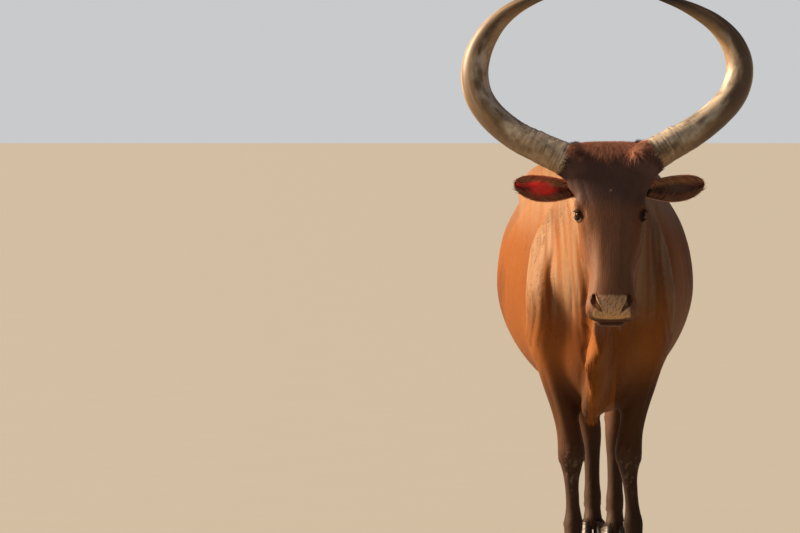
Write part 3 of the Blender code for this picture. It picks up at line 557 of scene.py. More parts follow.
dewlapPlan = {
    # root y and z, edge y and z, half width at the root, x of the edge
    "rows": [
        (-0.925, 1.06, -0.995, 0.925, 0.024, 0.000),
        (-0.875, 1.00, -0.968, 0.83, 0.025, -0.01),
        (-0.815, 0.93, -0.932, 0.745, 0.027, -0.026),
        (-0.768, 0.885, -0.905, 0.68, 0.0295, -0.012),
        (-0.722, 0.835, -0.874, 0.62, 0.033, -0.046),
        (-0.66, 0.78, -0.825, 0.555, 0.037, -0.028),
        (-0.58, 0.7, -0.745, 0.497, 0.044, -0.038),
        (-0.48, 0.64, -0.635, 0.467, 0.048, -0.034),
        (-0.36, 0.6, -0.48, 0.468, 0.048, -0.018),
        (-0.25, 0.56, -0.33, 0.482, 0.048, 0.0),
    ],
}

legPlan = {
    # z, x, y, half width, half depth
    "front": [
        (1.13, 0.098, -0.385, 0.05, 0.07),
        (1.03, 0.128, -0.425, 0.078, 0.115),
        (0.93, 0.145, -0.475, 0.084, 0.14),
        (0.83, 0.15, -0.505, 0.084, 0.148),
        (0.74, 0.149, -0.49, 0.081, 0.14),
        (0.67, 0.143, -0.462, 0.07, 0.115),
        (0.61, 0.134, -0.452, 0.061, 0.092),
        (0.55, 0.123, -0.46, 0.052, 0.074),
        (0.49, 0.109, -0.474, 0.045, 0.058),
        (0.43, 0.097, -0.486, 0.041, 0.048),
        (0.385, 0.09, -0.494, 0.0435, 0.048),
        (0.35, 0.088, -0.497, 0.0445, 0.047),
        (0.315, 0.088, -0.494, 0.036, 0.038),
        (0.275, 0.09, -0.49, 0.0265, 0.0325),
        (0.215, 0.092, -0.488, 0.0235, 0.0305),
        (0.175, 0.093, -0.489, 0.026, 0.0325),
        (0.14, 0.094, -0.494, 0.0325, 0.0385),
        (0.105, 0.095, -0.507, 0.03, 0.035),
        (0.07, 0.096, -0.522, 0.035, 0.04),
        (0.04, 0.096, -0.526, 0.035, 0.04),
    ],
    "hind": [
        (1.14, 0.1, 0.575, 0.07, 0.12),
        (1.05, 0.128, 0.58, 0.095, 0.19),
        (0.96, 0.146, 0.59, 0.103, 0.228),
        (0.86, 0.158, 0.59, 0.101, 0.23),
        (0.78, 0.162, 0.57, 0.092, 0.205),
        (0.71, 0.157, 0.555, 0.079, 0.168),
        (0.64, 0.145, 0.582, 0.062, 0.124),
        (0.58, 0.131, 0.625, 0.05, 0.088),
        (0.53, 0.119, 0.662, 0.043, 0.07),
        (0.49, 0.111, 0.69, 0.0395, 0.062),
        (0.45, 0.105, 0.703, 0.0425, 0.056),
        (0.405, 0.101, 0.7, 0.0415, 0.046),
        (0.355, 0.097, 0.691, 0.037, 0.038),
        (0.28, 0.095, 0.682, 0.0295, 0.0325),
        (0.2, 0.094, 0.674, 0.0275, 0.032),
        (0.15, 0.093, 0.669, 0.0315, 0.038),
        (0.11, 0.093, 0.657, 0.029, 0.0345),
        (0.072, 0.093, 0.643, 0.0345, 0.0395),
        (0.04, 0.093, 0.639, 0.0345, 0.0395),
    ],
    # how far each foot is set sideways and back, and the z where that starts
    "steps": {
        "front_right": (0.012, 0.0, 0.34),
        "front_left": (0.01, 0.0, 0.34),
        "hind_right": (0.11, 0.09, 0.86),
        "hind_left": (-0.011, -0.15, 0.86),
    },
}

tailPlan = {
    # y, z, x, radius
    "rows": [
        (0.8, 1.205, 0.000, 0.038),
        (0.865, 1.175, 0.000, 0.034),
        (0.915, 1.105, 0.000, 0.029),
        (0.938, 1.000, 0.000, 0.024),
        (0.945, 0.88, 0.002, 0.02),
        (0.945, 0.76, 0.004, 0.0165),
        (0.942, 0.64, 0.006, 0.014),
        (0.938, 0.56, 0.008, 0.0125),
    ],
    "collar": 0.007,
    "collarRows": 6,
    "around": 20,
}

udderPlan = {
    "centre": (0.018, 0.59, 0.64),
    "radii": (0.062, 0.115, 0.085),
    "teatSpread": (0.032, -0.04, 0.035),
    "teatRadii": (0.0105, 0.009975, 0.0063),
    "teatAround": 14,
    "teatLength": 0.042,
}


def legRows(name, steps=4):
    end, side = name.split("_")
    stepX, stepY, start = legPlan["steps"][name]
    rows = flowing(legPlan[end], steps)
    share = ramp((start - rows[:, 0]) / start, 0, 0.62)
    rows[:, 1] = rows[:, 1] * sides[side] + share * stepX
    rows[:, 2] += share * stepY
    return rows


# A leg's middle, half width and half depth at the asked heights
def legAxis(name, z):
    rows = legRows(name)[::-1]
    return [np.interp(z, rows[:, 0], rows[:, k]) for k in (1, 2, 3, 4)]


def levelLoft(rows, count=28):
    turn = turns(count)
    rings = [np.stack([x + width * np.cos(turn), y + depth * np.sin(turn), np.full(count, z)], -1)
             for z, x, y, width, depth in rows]
    return loft(rings)


def tailShape(first, last, collar=0.0):
    rows = flowing(tailPlan["rows"], 3)[first:last]
    return loft(tubeRings(rows[:, [2, 0, 1]], rows[:, 3] + collar, tailPlan["around"]))


def udderShapes():
    plan = udderPlan
    centre, radii = np.array(plan["centre"]), np.array(plan["radii"])
    shapes = [ball(centre, radii)]
    spread, front, back = plan["teatSpread"]
    for dx in (-spread, spread):
        for dy in (front, back):
            top = centre + (dx, dy, -radii[2] * 0.8)
            path = [top + (0, 0, 0.02), top + (dx * 0.12, 0, -plan["teatLength"] * 0.6),
                    top + (dx * 0.16, 0, -plan["teatLength"])]
            shapes.append(loft(tubeRings(path, plan["teatRadii"], plan["teatAround"])))
    return shapes


# The horns' line, with the hide that reaches out round each root

hornPlan = {
    # reach out from the head's middle, y, z, radius
    "rows": [
        (0.08, -0.985, 1.24, 0.049),
        (0.112, -0.988, 1.257, 0.051),
        (0.14, -0.988, 1.27, 0.0505),
        (0.208, -0.978, 1.301, 0.047),
        (0.284, -0.958, 1.34, 0.0445),
        (0.35, -0.934, 1.394, 0.043),
        (0.392, -0.91, 1.454, 0.0425),
        (0.406, -0.89, 1.518, 0.042),
        (0.398, -0.874, 1.578, 0.04),
        (0.372, -0.864, 1.636, 0.035),
        (0.332, -0.862, 1.688, 0.0285),
        (0.282, -0.868, 1.727, 0.0225),
        (0.228, -0.88, 1.753, 0.0165),
        (0.176, -0.896, 1.769, 0.01),
        (0.132, -0.912, 1.778, 0.003),
    ],
    "share": {"right": 1.0, "left": 0.965},
    # hide round the root: how far out, and how much wider than the horn
    "collar": [(0.082, 0.005), (0.1, 0.0075), (0.118, 0.0075), (0.13, 0.0045), (0.137, -0.003)],
    # how far each row of the left horn lies off its twin's: out and up
    "bend": [
        (0.0, 0.0), (-0.002, 0.006), (-0.006, 0.012), (-0.0115, 0.0175), (-0.0165, 0.019), (-0.0185, 0.0145),
        (-0.0125, 0.006), (-0.001, 0.0), (0.0085, 0.002), (0.01, 0.005), (0.005, 0.0035), (0.001, 0.0),
        (0.0, 0.0), (0.0, 0.0), (0.0, 0.0),
    ],
    "steps": 16,
    "around": 56,
    "ringApart": 0.021,
    "ringDepth": 0.0018,
    "flakeDepth": 0.0008,
    "ringsEnd": 0.42,
    "cream": (0.6, 0.495, 0.375),
    "grey": (0.235, 0.185, 0.14),
    # brown: the dark stripe down each horn's outer side, partly painted shade
    "tan": (0.31, 0.182, 0.076),
    "brown": (0.11, 0.062, 0.03),
    "tip": (0.04, 0.026, 0.02),
    "crack": (0.03, 0.018, 0.013),
    "stain": (0.12, 0.078, 0.045),
    # x and z of the middle of the ring that the two horns make
    "ringCentre": (0.0, 1.5),
}


def hornRows(side):
    rows = np.array(hornPlan["rows"])
    if side == "left":
        rows[:, [0, 2]] += hornPlan["bend"]
    rows = flowing(rows, hornPlan["steps"])
    root = np.array(hornPlan["rows"][0][:3])
    rows[:, :3] = root + (rows[:, :3] - root) * hornPlan["share"][side]
    rows[:, 0] = poll[0] + sides[side] * rows[:, 0]
    return rows


# Rows of the horn's line at the asked distances out from the head's middle
def hornRoot(side, outs):
    rows = hornRows(side)
    reach = np.abs(rows[:, 0] - poll[0])
    near = slice(0, int(np.argmax(reach > 0.3)))
    return np.stack([np.interp(outs, reach[near], rows[near, k]) for k in range(4)], -1)


def collarShape(side):
    outs, wider = np.array(hornPlan["collar"]).T
    rows = hornRoot(side, outs)
    return loft(tubeRings(rows[:, :3], rows[:, 3] + wider, count=28))


def bodyShapes():
    trunk = [sideRing((y, top), (y, bottom), *rest, x=trunkPlan["x"])
             for y, top, bottom, *rest in flowing(trunkPlan["rows"], 4)]
    neck = [sideRing((ty, tz), (by, bz), width, 0.5, 1.9, 2.0, x=poll[0] * min(max((-0.45 - ty) / 0.5, 0), 1))
            for ty, tz, by, bz, width in flowing(neckPlan["rows"], 4)]
    dewlap = [sideRing((ry, rz), (ey, ez), width, 0.6, 2.0, 2.5, edgeX=edgeX, count=36)
              for ry, rz, ey, ez, width, edgeX in flowing(dewlapPlan["rows"], 5)]
    shapes = [loft(trunk), loft(neck), loft(dewlap), headLoft(headPlan["skull"]), headLoft(headPlan["jaw"])]
    shapes += [levelLoft(legRows(name)) for name in legPlan["steps"]]
    shapes += [tailShape(0, tailPlan["collarRows"], tailPlan["collar"]), tailShape(3, None)]
    lidBall = eyePlan["radius"] + eyePlan["lidThickness"]
    shapes += [ball(eyeFrame(side)[0], lidBall) for side in sides] + [collarShape(side) for side in sides]
    return shapes + udderShapes()


# The skin: fused forms, smoothed joins, muscles, folds, then the face at a finer grain

skinPlan = {
    "voxel": 0.0066,
    "blend": 0.052,
    "coatDepth": 0.0022,
    # x, y, z, reach along each, height; on both sides
    "bigForms": [
        (0.21, 0.455, 1.19, 0.125, 0.155, 0.12, 0.021),
        (0.25, 0.34, 1.09, 0.11, 0.16, 0.12, -0.02),
        (0.105, 0.87, 1.08, 0.08, 0.09, 0.09, 0.02),
        (0.215, -0.6, 0.85, 0.1, 0.1, 0.13, 0.012),
        (0.23, -0.43, 0.7, 0.1, 0.1, 0.11, 0.01),
        (0.19, 0.78, 0.9, 0.11, 0.11, 0.2, 0.01),
    ],
    # the path of a groove or ridge down the cow's left side, its width and height; on both sides
    "bodyLines": [
        ([(0.1, -0.24, 1.22), (0.19, -0.27, 1.05), (0.235, -0.31, 0.88), (0.22, -0.34, 0.72)],
         0.034, -0.009),
        ([(0.07, -0.52, 1.26), (0.12, -0.6, 1.12), (0.16, -0.67, 0.96), (0.15, -0.7, 0.82)], 0.026, -0.006),
        ([(0.12, -0.36, 1.2), (0.17, -0.45, 1.06), (0.2, -0.54, 0.92)], 0.022, 0.004),
        ([(0.24, -0.36, 0.92), (0.23, -0.45, 0.8), (0.2, -0.52, 0.72)], 0.018, -0.004),
        ([(0.2, 0.5, 0.66), (0.25, 0.43, 0.76), (0.27, 0.38, 0.88)], 0.026, 0.008),
        ([(0.22, 0.55, 0.74), (0.26, 0.5, 0.86), (0.26, 0.46, 0.98)], 0.024, -0.006),
        ([(0.16, 0.76, 1.14), (0.19, 0.77, 0.98), (0.17, 0.77, 0.8), (0.13, 0.75, 0.68)], 0.022, -0.006),
        ([(0.205, 0.55, 1.155), (0.18, 0.65, 1.14), (0.13, 0.8, 1.11)], 0.036, -0.005),
        ([(0.06, -0.1, 1.26), (0.05, 0.2, 1.25), (0.05, 0.45, 1.29), (0.04, 0.7, 1.26)], 0.026, -0.004),
    ],
    "ribs": {"first": -0.14, "apart": 0.062, "count": 8, "width": 0.017, "depth": 0.0022,
             "path": [(0.22, 0.0, 1.1), (0.29, 0.03, 0.92), (0.29, 0.05, 0.74)]},
}


def softness(points):
    x, y, z = points.T
    onLeg = np.clip((z - 0.42) / 0.25, 0.06, 1.0)
    onHead = np.clip((y + 0.99) / 0.14, 0.05, 1.0)
    onEdge = np.where((y < -0.6) & (np.abs(x) < 0.07) & (z < 0.8), 0.25, 1.0)
    onCollar = np.where((z > 1.17) & (y < -0.9) & (np.abs(x - poll[0]) > 0.095), 0.06, 1.0)
    nearUdder = (np.abs(y - udderPlan["centre"][1]) < 0.12) & (np.abs(x) < 0.09)
    onTeat = np.where((z < 0.56) & nearUdder, 0.1, 1.0)
    return onLeg * np.minimum(onHead, onCollar) * onEdge * onTeat


def fuse(obj, voxel):
    step = obj.modifiers.new("fuse", "REMESH")
    step.mode = "VOXEL"
    step.voxel_size = voxel
    settle(obj)


# Halves the edges of the faces whose middles are wanted
def refine(obj, wanted):
    def halve(shape):
        middles = np.array([face.calc_center_median() for face in shape.faces])
        edges = {edge for face, pick in zip(shape.faces, wanted(middles)) if pick for edge in face.edges}
        bmesh.ops.subdivide_edges(shape, edges=list(edges), cuts=1, use_grid_fill=True)

    reshape(obj.data, halve)


def bodyForms(points):
    heights = np.zeros(len(points))
    for x, y, z, *reaches, height in skinPlan["bigForms"]:
        for sign in sides.values():
            heights += swelling(points, (sign * x, y, z), reaches, height)
    return heights


# Every line of the body on both sides, with the ribs
def bodyLines(points):
    heights = np.zeros(len(points))
    ribs = skinPlan["ribs"]
    for sign in sides.values():
        mirror = np.array([sign, 1, 1])
        for path, width, height in skinPlan["bodyLines"]:
            heights += ridge(points, np.array(path) * mirror, width, height)
        for k in range(ribs["count"]):
            path = (np.array(ribs["path"]) + (0, ribs["first"] + k * ribs["apart"], 0)) * mirror
            heights += ridge(points, path, ribs["width"], -ribs["depth"])
    return heights


# Down each leg: grooves beside the tendons, the hollow before the hock's tendon, and bony knobs

legForms = {
    # turns round the leg from its outer side, top z, bottom z, share of the leg's radius, width, height
    "front": [
        ((35, 145), 0.3, 0.17, 1.0, 0.007, -0.003),
        ((-40,), 0.62, 0.42, 1.0, 0.014, -0.004),
        ((70,), 0.6, 0.44, 1.0, 0.016, 0.0035),
        ((-90,), 0.385, 0.325, 1.0, 0.016, 0.003),
        ((0, 180), 0.345, 0.325, 1.0, 0.012, 0.0025),
        ((-90,), 0.318, 0.306, 1.0, 0.012, -0.0025),
        ((90,), 0.16, 0.125, 1.0, 0.012, 0.0035),
    ],
    "hind": [
        ((42, 138), 0.66, 0.475, 0.95, 0.016, -0.0085),
        ((-35,), 0.62, 0.5, 1.0, 0.014, 0.003),
        ((30, 150), 0.36, 0.18, 1.0, 0.007, -0.003),
        ((0, 180), 0.44, 0.405, 1.0, 0.014, 0.0035),
        ((90,), 0.5, 0.475, 1.0, 0.014, 0.0045),
        ((90,), 0.17, 0.135, 1.0, 0.012, 0.0035),
    ],
}


def legLines(points):
    heights = np.zeros(len(points))
    for name in legPlan["steps"]:
        end, side = name.split("_")
        for angles, top, bottom, share, width, height in legForms[end]:
            z = np.linspace(top, bottom, 5)
            x, y, wide, deep = legAxis(name, z)
            for turn in map(math.radians, angles):
                path = np.stack([x + sides[side] * wide * share * math.cos(turn),
                                 y + deep * share * math.sin(turn), z], -1)
                heights += ridge(points, path, width, height)
    return heights


# Loose skin: long folds down the neck's sides and the shoulders' fronts, and wrinkles across the dewlap

foldPlan = {
    # x and z, off the body's middle, that the folds fan from in the front view, and the angle between them
    "from": (0.158, 1.62),
    "middle": 0.006,
    "apart": 0.068,
    "waver": 0.014,
    "depth": 0.0085,
    "fineDepth": 0.002,
    "bandWide": 0.105,
    "bandNarrow": 0.036,
    "dewlapApart": 0.034,
    "dewlapDepth": 0.0034,
}


def neckFan(points):
    fromX, fromZ = foldPlan["from"]
    return (np.abs(points[:, 0] - foldPlan["middle"]) - fromX) / (fromZ - points[:, 2])


def neckSide(points):
    x, y, z = points.T
    onNeck = ramp(y, -0.34, -0.5) * ramp(z, 0.62, 0.76) * ramp(z, 1.26, 1.14)
    return onNeck * ramp(np.abs(x - foldPlan["middle"]), 0.035, 0.07)


# Uneven bands that run down the neck's sides, about -1 to 1; the painted sheen on the neck lies along them
def neckBands(points):
    spots = np.stack([neckFan(points), points[:, 2] * 0.1, points[:, 1] * 0.05], -1)
    return 0.7 * wavy(spots, foldPlan["bandWide"], 61) + 0.5 * wavy(spots, foldPlan["bandNarrow"], 62)


def looseSkin(points):
    plan = foldPlan
    x, y, z = points.T
    turned = neckFan(points) + np.where(x > 0, 0.012, 0.0)
    turned = turned + plan["waver"] * wavy(points * (0.5, 0.5, 1), 0.24, 5)
    groove = 1 - np.abs(np.sin(np.pi * turned / plan["apart"])) ** 0.6
    fine = 1 - np.abs(np.sin(np.pi * (turned / plan["apart"] + 0.3) * 2.6)) ** 0.8
    patchy = 0.35 + 0.65 * ramp(wavy(points * (1, 1, 0.35), 0.2, 9), -0.9, 0.7)
    heights = -neckSide(points) * patchy * (plan["depth"] * groove + plan["fineDepth"] * fine)
    onLap = ramp(np.abs(x), 0.075, 0.05) * ramp(y, -0.3, -0.42)
    onLap *= ramp(0.98 - 0.35 * (y + 0.95) - z, 0.0, 0.1)
    onLap *= ramp(headPlace(points)[:, 1], 0.35, 0.2) + ramp(y, -0.99, -0.95)
    downLap = y * 0.8 + z * 0.35 + plan["waver"] * wavy(points, 0.15, 6)
    folds = np.abs(np.sin(np.pi * downLap / plan["dewlapApart"])) ** 0.7
    return heights - plan["dewlapDepth"] * (1 - folds) * np.clip(onLap, 0, 1)


# The face, in the head's frame. Each entry is made on both sides

facePlan = {
    # w, u, v, reach along w, u and v, height
    "forms": [
        (0.098, 0.188, -0.03, 0.03, 0.05, 0.028, 0.01),
        (0.112, 0.135, -0.078, 0.03, 0.04, 0.035, -0.009),
        (0.085, 0.32, -0.085, 0.03, 0.05, 0.022, 0.006),
        (0.075, 0.38, -0.05, 0.03, 0.06, 0.025, -0.005),
        (0.075, 0.245, -0.155, 0.04, 0.06, 0.045, 0.009),
        (0.05, 0.52, -0.045, 0.03, 0.035, 0.03, 0.006),
        (0.06, 0.485, -0.095, 0.03, 0.05, 0.022, 0.004),
    ],
    # path, width and height
    "lines": [
        ([(0.03, 0.24, 0.0), (0.034, 0.34, -0.01), (0.036, 0.44, -0.014)], 0.013, 0.0018),
        ([(0.062, 0.26, -0.02), (0.06, 0.35, -0.028), (0.056, 0.44, -0.03)], 0.014, -0.0028),
        ([(0.098, 0.262, -0.075), (0.088, 0.32, -0.082), (0.078, 0.38, -0.08)], 0.01, 0.003),
        ([(0.078, 0.27, -0.04), (0.076, 0.33, -0.06), (0.072, 0.4, -0.078)], 0.0035, 0.0016),
        ([(0.074, 0.3, -0.05), (0.07, 0.35, -0.05), (0.064, 0.4, -0.052)], 0.003, 0.0012),
        ([(0.085, 0.16, -0.175), (0.078, 0.22, -0.205), (0.07, 0.3, -0.2)], 0.012, -0.003),
        ([(0.108, 0.15, -0.022), (0.1, 0.135, -0.002), (0.075, 0.14, 0.002)], 0.01, -0.003),
        ([(0.046, 0.48, -0.018), (0.062, 0.49, -0.04), (0.068, 0.505, -0.062)], 0.006, -0.0022),
        ([(0.078, 0.405, -0.108), (0.072, 0.445, -0.12), (0.06, 0.49, -0.126)], 0.006, -0.002),
        ([(0.082, 0.395, -0.1), (0.08, 0.41, -0.085), (0.076, 0.42, -0.072)], 0.005, -0.0018),
    ],
    # the mouth from its corner round to the middle
    "mouth": [(0.088, 0.415, -0.095), (0.085, 0.46, -0.098), (0.072, 0.515, -0.097), (0.038, 0.545, -0.092),
              (0.000, 0.552, -0.09)],
    "mouthWidth": 0.003,
    "mouthDepth": 0.0062,
    # how far above the mouth each lip lies, and its swell
    "lips": [(0.011, 0.003), (-0.011, 0.00375)],
    "lipWidth": 0.0085,
    # the comma of the nostril, from its wide top to its low inner end: place and half width
    "nostril": [(0.0535, 0.488, -0.028, 0.0072), (0.0525, 0.5, -0.03, 0.0104),
                (0.0475, 0.511, -0.034, 0.0098), (0.0395, 0.521, -0.037, 0.0068),
                (0.032, 0.53, -0.04, 0.003)],
    "nostrilDepth": 0.02,
    "nostrilRim": 0.003,
    "nostrilInward": (-0.25, -0.62, -0.75),
    "fine": 0.4,
}


def mirrored(path, sign):
    return np.array(path, float) * (sign, 1, 1)


def faceForms(points):
    spots = headPlace(points)
    heights = np.zeros(len(points))
    for w, u, v, *reaches, height in facePlan["forms"]:
        for sign in sides.values():
            heights += swelling(spots, (sign * w, u, v), reaches, height)
    return heights


def faceLines(points):
    spots = headPlace(points)
    heights = np.zeros(len(points))
    for sign in sides.values():
        for path, width, height in facePlan["lines"]:
            heights += ridge(spots, mirrored(path, sign), width, height)
    return heights


# The lines of the mouth and nostrils as they lie on the skin, kept for its colour and its hair
faceMarks = {}


def surfaceOf(obj):
    return BVHTree.FromObject(obj, bpy.context.evaluated_depsgraph_get())


# Puts each point of a path given in the head's frame onto the skin
def onSkin(surface, path):
    return np.array([surface.find_nearest(Vector(inHead(spot)))[0] for spot in path])


def markFace(surface):
    half = flowing(facePlan["mouth"], 5)
    faceMarks["mouth"] = onSkin(surface, np.vstack([half, (half * (-1, 1, 1))[-2::-1]]))
    for side, sign in sides.items():
        rows = flowing(facePlan["nostril"], 6)
        faceMarks[side] = onSkin(surface, rows[:, :3] * (sign, 1, 1)), rows[:, 3]


def lips(points, path):
    plan = facePlan
    heights = ridge(points, path, plan["mouthWidth"], -plan["mouthDepth"], endFade=0.35)
    for above, swell in plan["lips"]:
        heights += ridge(points, path + headAxes[2] * above, plan["lipWidth"], swell, endFade=0.3)
    return heights


# How deep each point lies in a nostril: 1 on its middle line, 0 at its rim and less than 0 outside
def nostrilShare(points, side):
    path, widths = faceMarks[side]
    share = np.full(len(points), -9.0)
    close = np.linalg.norm(points - path[len(path) // 2], axis=1) < 0.06
    for spot, half in zip(path, widths):
        share[close] = np.maximum(share[close], 1 - np.linalg.norm(points[close] - spot, axis=1) / half)
    return share


# Wrinkles that ring the eye, in the eye's own frame
wrinklePlan = {
    # size against the opening, from and to which turn, height
    "rings": [(1.55, 15, 165, -0.0022), (1.95, 25, 150, -0.0016), (1.5, 200, 340, -0.0018),
              (1.85, 215, 325, -0.0012)],
    "width": 0.0028,
    "steps": 12,
    "stretch": (0.94, 1.15),
    "castFrom": 0.06,
}


def eyeWrinkles(points, surface):
    plan = wrinklePlan
    heights = np.zeros(len(points))
    wide, high = eyePlan["opening"]
    wider, higher = plan["stretch"]
    for side in sides:
        centre, (across, up, out) = eyeFrame(side)
        for size, start, end, height in plan["rings"]:
            path = []
            for turn in np.radians(np.linspace(start, end, plan["steps"])):
                spot = centre + out * plan["castFrom"] + across * wide * size * math.cos(turn) * wider
                spot = spot + up * high * size * math.sin(turn) * higher
                hit = surface.ray_cast(Vector(spot), Vector(-out))[0]
                if hit:
                    path.append(hit)
            heights += ridge(points, path, plan["width"], height)
    return heights


def makeSkin():
    skin = build("skin", bodyShapes())
    fuse(skin, skinPlan["voxel"])
    rounds = round((skinPlan["blend"] / skinPlan["voxel"]) ** 2)
    relax(skin, 0.5 * softness(pointsOf(skin)), rounds)
    push(skin, bodyForms(pointsOf(skin)) + faceForms(pointsOf(skin)))
    print("flesh fused:", len(skin.data.polygons))

    push(skin, bodyLines(pointsOf(skin)) + legLines(pointsOf(skin)) - skinPlan["coatDepth"])
    push(skin, looseSkin(pointsOf(skin)))

    def onHead(middles):
        spots = headPlace(middles)
        return (spots[:, 1] > -0.05) & (middles[:, 1] < -0.93) & (middles[:, 2] > 0.74)

    refine(skin, onHead)
    relax(skin, 0.5 * onHead(pointsOf(skin)), 3)

    def onFeatures(middles):
        _, u, v = headPlace(middles).T
        onMuzzle = (u > facePlan["fine"]) & (v > -0.15)
        eyeGaps = [np.linalg.norm(middles - eyeFrame(side)[0], axis=1) for side in sides]
        return onHead(middles) & (onMuzzle | (np.minimum(*eyeGaps) < 0.048))

    refine(skin, onFeatures)
    relax(skin, 0.5 * onFeatures(pointsOf(skin)), 3)
    push(skin, faceLines(pointsOf(skin)))
    surface = surfaceOf(skin)
    markFace(surface)
    push(skin, eyeWrinkles(pointsOf(skin), surface))
    push(skin, lips(pointsOf(skin), faceMarks["mouth"]))
    openNostrils(skin)
    openEyes(skin)
    print("face shaped:", len(skin.data.polygons))
    return skin


# Raises each nostril's rim and sinks its inside back into the nose
def openNostrils(skin):
    plan = facePlan
    for side in sides:
        share = nostrilShare(pointsOf(skin), side)
        rim = np.exp(-(((share + 0.2) / 0.3) ** 2))
        push(skin, rim * plan["nostrilRim"])
        points = pointsOf(skin)
        inward = unit(mirrored(plan["nostrilInward"], sides[side]) @ headAxes)
        depth = ramp(share, 0.05, 0.55) * plan["nostrilDepth"]
        putPoints(skin, points + inward * depth[:, None])


# Sinks the skin inside each lid opening to just behind the eyeball
def openEyes(skin):
    points = pointsOf(skin)
    wide, high = eyePlan["opening"]
    for side in sides:
        centre, axes = eyeFrame(side)
        a, b, c = ((points - centre) @ axes.T).T
        inside = (a / wide) ** 2 + (np.abs(b) / high) ** 1.6
        open_ = (inside < 1.0) & (c > -0.005) & (c < 0.05)
        surface = np.sqrt(np.clip(eyePlan["radius"] ** 2 - a**2 - b**2, 0, None)) - eyePlan["skinBehind"]
        points[open_] += axes[2] * (surface - c)[open_, None]
    putPoints(skin, points)


skin = makeSkin()


# Where each point belongs, for its hair's lie, its colour and its place on the bake map

legLabels = {name: k for k, name in enumerate(legPlan["steps"])}


# 0 to 3 for the legs, 4 head, 5 neck, 6 tail, 7 trunk and udder, 8 dewlap
def labelsOf(points):
    x, y, z = points.T
    label = np.full(len(points), 7)
    onNeck = y + 0.415 + (1.4 - z) * 0.43 < 0
    label[onNeck] = 5
    label[(np.abs(x) < 0.055) & (y < -0.42) & (z < 0.94 - 1.1 * (y + 0.925))] = 8
    label[(y > 0.9) & (z < 1.08) & (np.abs(x) < 0.05)] = 6
    spots = headPlace(points)
    label[(spots[:, 1] > -0.06) & (y < -0.935) & (z > 0.72)] = 4
    for name, k in legLabels.items():
        cx, cy, wide, deep = legAxis(name, z)
        near = ((x - cx) / (wide + 0.03)) ** 2 + ((y - cy) / (deep + 0.03)) ** 2 < 1
        label[near & (z < (0.66 if "front" in name else 0.76))] = k
    return label


partPlan = {
    # where the head starts along u, back to front and upwards
    "head": {
        "lie": ((-0.06, 0.04), (-0.92, -0.99), (0.7, 0.76)),
        "coat": ((-0.06, 0.04), (-0.92, -0.97), (0.72, 0.76)),
        "tone": ((-0.1, -0.04), (-0.88, -0.95), (0.7, 0.76)),
    },
    # where a leg starts downwards, and the neck back to front
    "leg": {"lie": (0.86, 0.6), "coat": (0.62, 0.4)},
    "neck": {"lie": (-0.25, -0.6), "coat": (-0.35, -0.6)},
}


def headShare(points, use):
    along, forward, upward = partPlan["head"][use]
    u = headPlace(points)[:, 1]
    return ramp(u, *along) * ramp(points[:, 1], *forward) * ramp(points[:, 2], *upward)


# How far each point belongs to the neck, the legs and the head
def partShares(points, use):
    onHead = headShare(points, use)
    onLeg = ramp(points[:, 2], *partPlan["leg"][use]) * (1 - onHead)
    onNeck = ramp(points[:, 1], *partPlan["neck"][use]) * (1 - onLeg) * (1 - onHead)
    return onNeck, onLeg, onHead


# The way that hair lies at each point, along the skin
def lieOf(points, normals):
    x, y, z = points.T
    w, u, v = headPlace(points).T
    onLeg = ramp(z, *partPlan["leg"]["lie"])[:, None]
    onNeck = ramp(y, *partPlan["neck"]["lie"])[:, None]
    lie = np.tile((0.0, 1.0, -0.28), (len(points), 1))
    fanned = np.stack([np.sign(x) * neckFan(points) * 0.9, 0.3 + 0 * x, -1 + 0 * x], -1)
    lie = lie + (fanned - lie) * onNeck
    lie = lie + (np.array((0.0, 0.12, -1.0)) - lie) * onLeg
    onHead = headShare(points, "lie")[:, None]
    low = ramp(u, 0.1, 0.22)
    down = np.stack([w * 3.0, low * 2 - 1, -0.6 * ramp(v, -0.04, -0.14)], -1)
    lie = lie + (down @ headAxes - lie) * onHead
    lie = lie + np.stack([wavy(points, 0.3, 21), wavy(points, 0.34, 22), wavy(points, 0.3, 23)], -1) * 0.1
    return alongSkin(lie, normals)


def noseShare(points):
    w, u, v = headPlace(points).T
    top = 0.494 + 0.16 * np.abs(w) - 6.0 * w**2 + 0.0016 * wavy(points, 0.016, 53)
    pad = ramp(u, top - 0.008, top + 0.005) * ramp(np.abs(w) - 0.25 * (u - 0.53), 0.056, 0.05)
    return pad * ramp(v - 4.0 * w**2, -0.07, -0.062) * (points[:, 1] < -1.1)


def udderShare(points):
    x, y, z = points.T
    middleX, middleY, _ = udderPlan["centre"]
    level = ramp(np.abs(x - middleX), 0.074, 0.06) * ramp(np.abs(y - middleY), 0.17, 0.15)
    return level * ramp(z, 0.625, 0.59) * ramp(z, 0.5, 0.52)


# How far each point lies from the middle of an eye's opening
def eyeGap(points, side):
    centre, axes = eyeFrame(side)
    return np.linalg.norm(points - centre - axes[2] * eyePlan["openingOut"], axis=1)


# Bare skin: the nose, the lips, inside the nostrils, round the eyes, and the udder
def bareness(points):
    bare = noseShare(points)
    u = headPlace(points)[:, 1]
    onHead = (u > 0.05) & (points[:, 1] < -0.93)
    nearMouth = ridge(points, faceMarks["mouth"], 0.0052, 1.0, endFade=0.1)
    bare = np.maximum(bare, np.clip(nearMouth * 1.5, 0, 1) * onHead)
    for side in sides:
        bare = np.maximum(bare, ramp(nostrilShare(points, side), -0.3, 0.0) * onHead)
        bare = np.maximum(bare, ramp(eyeGap(points, side), 0.024, 0.014) * 0.9)
    return np.maximum(bare, udderShare(points))


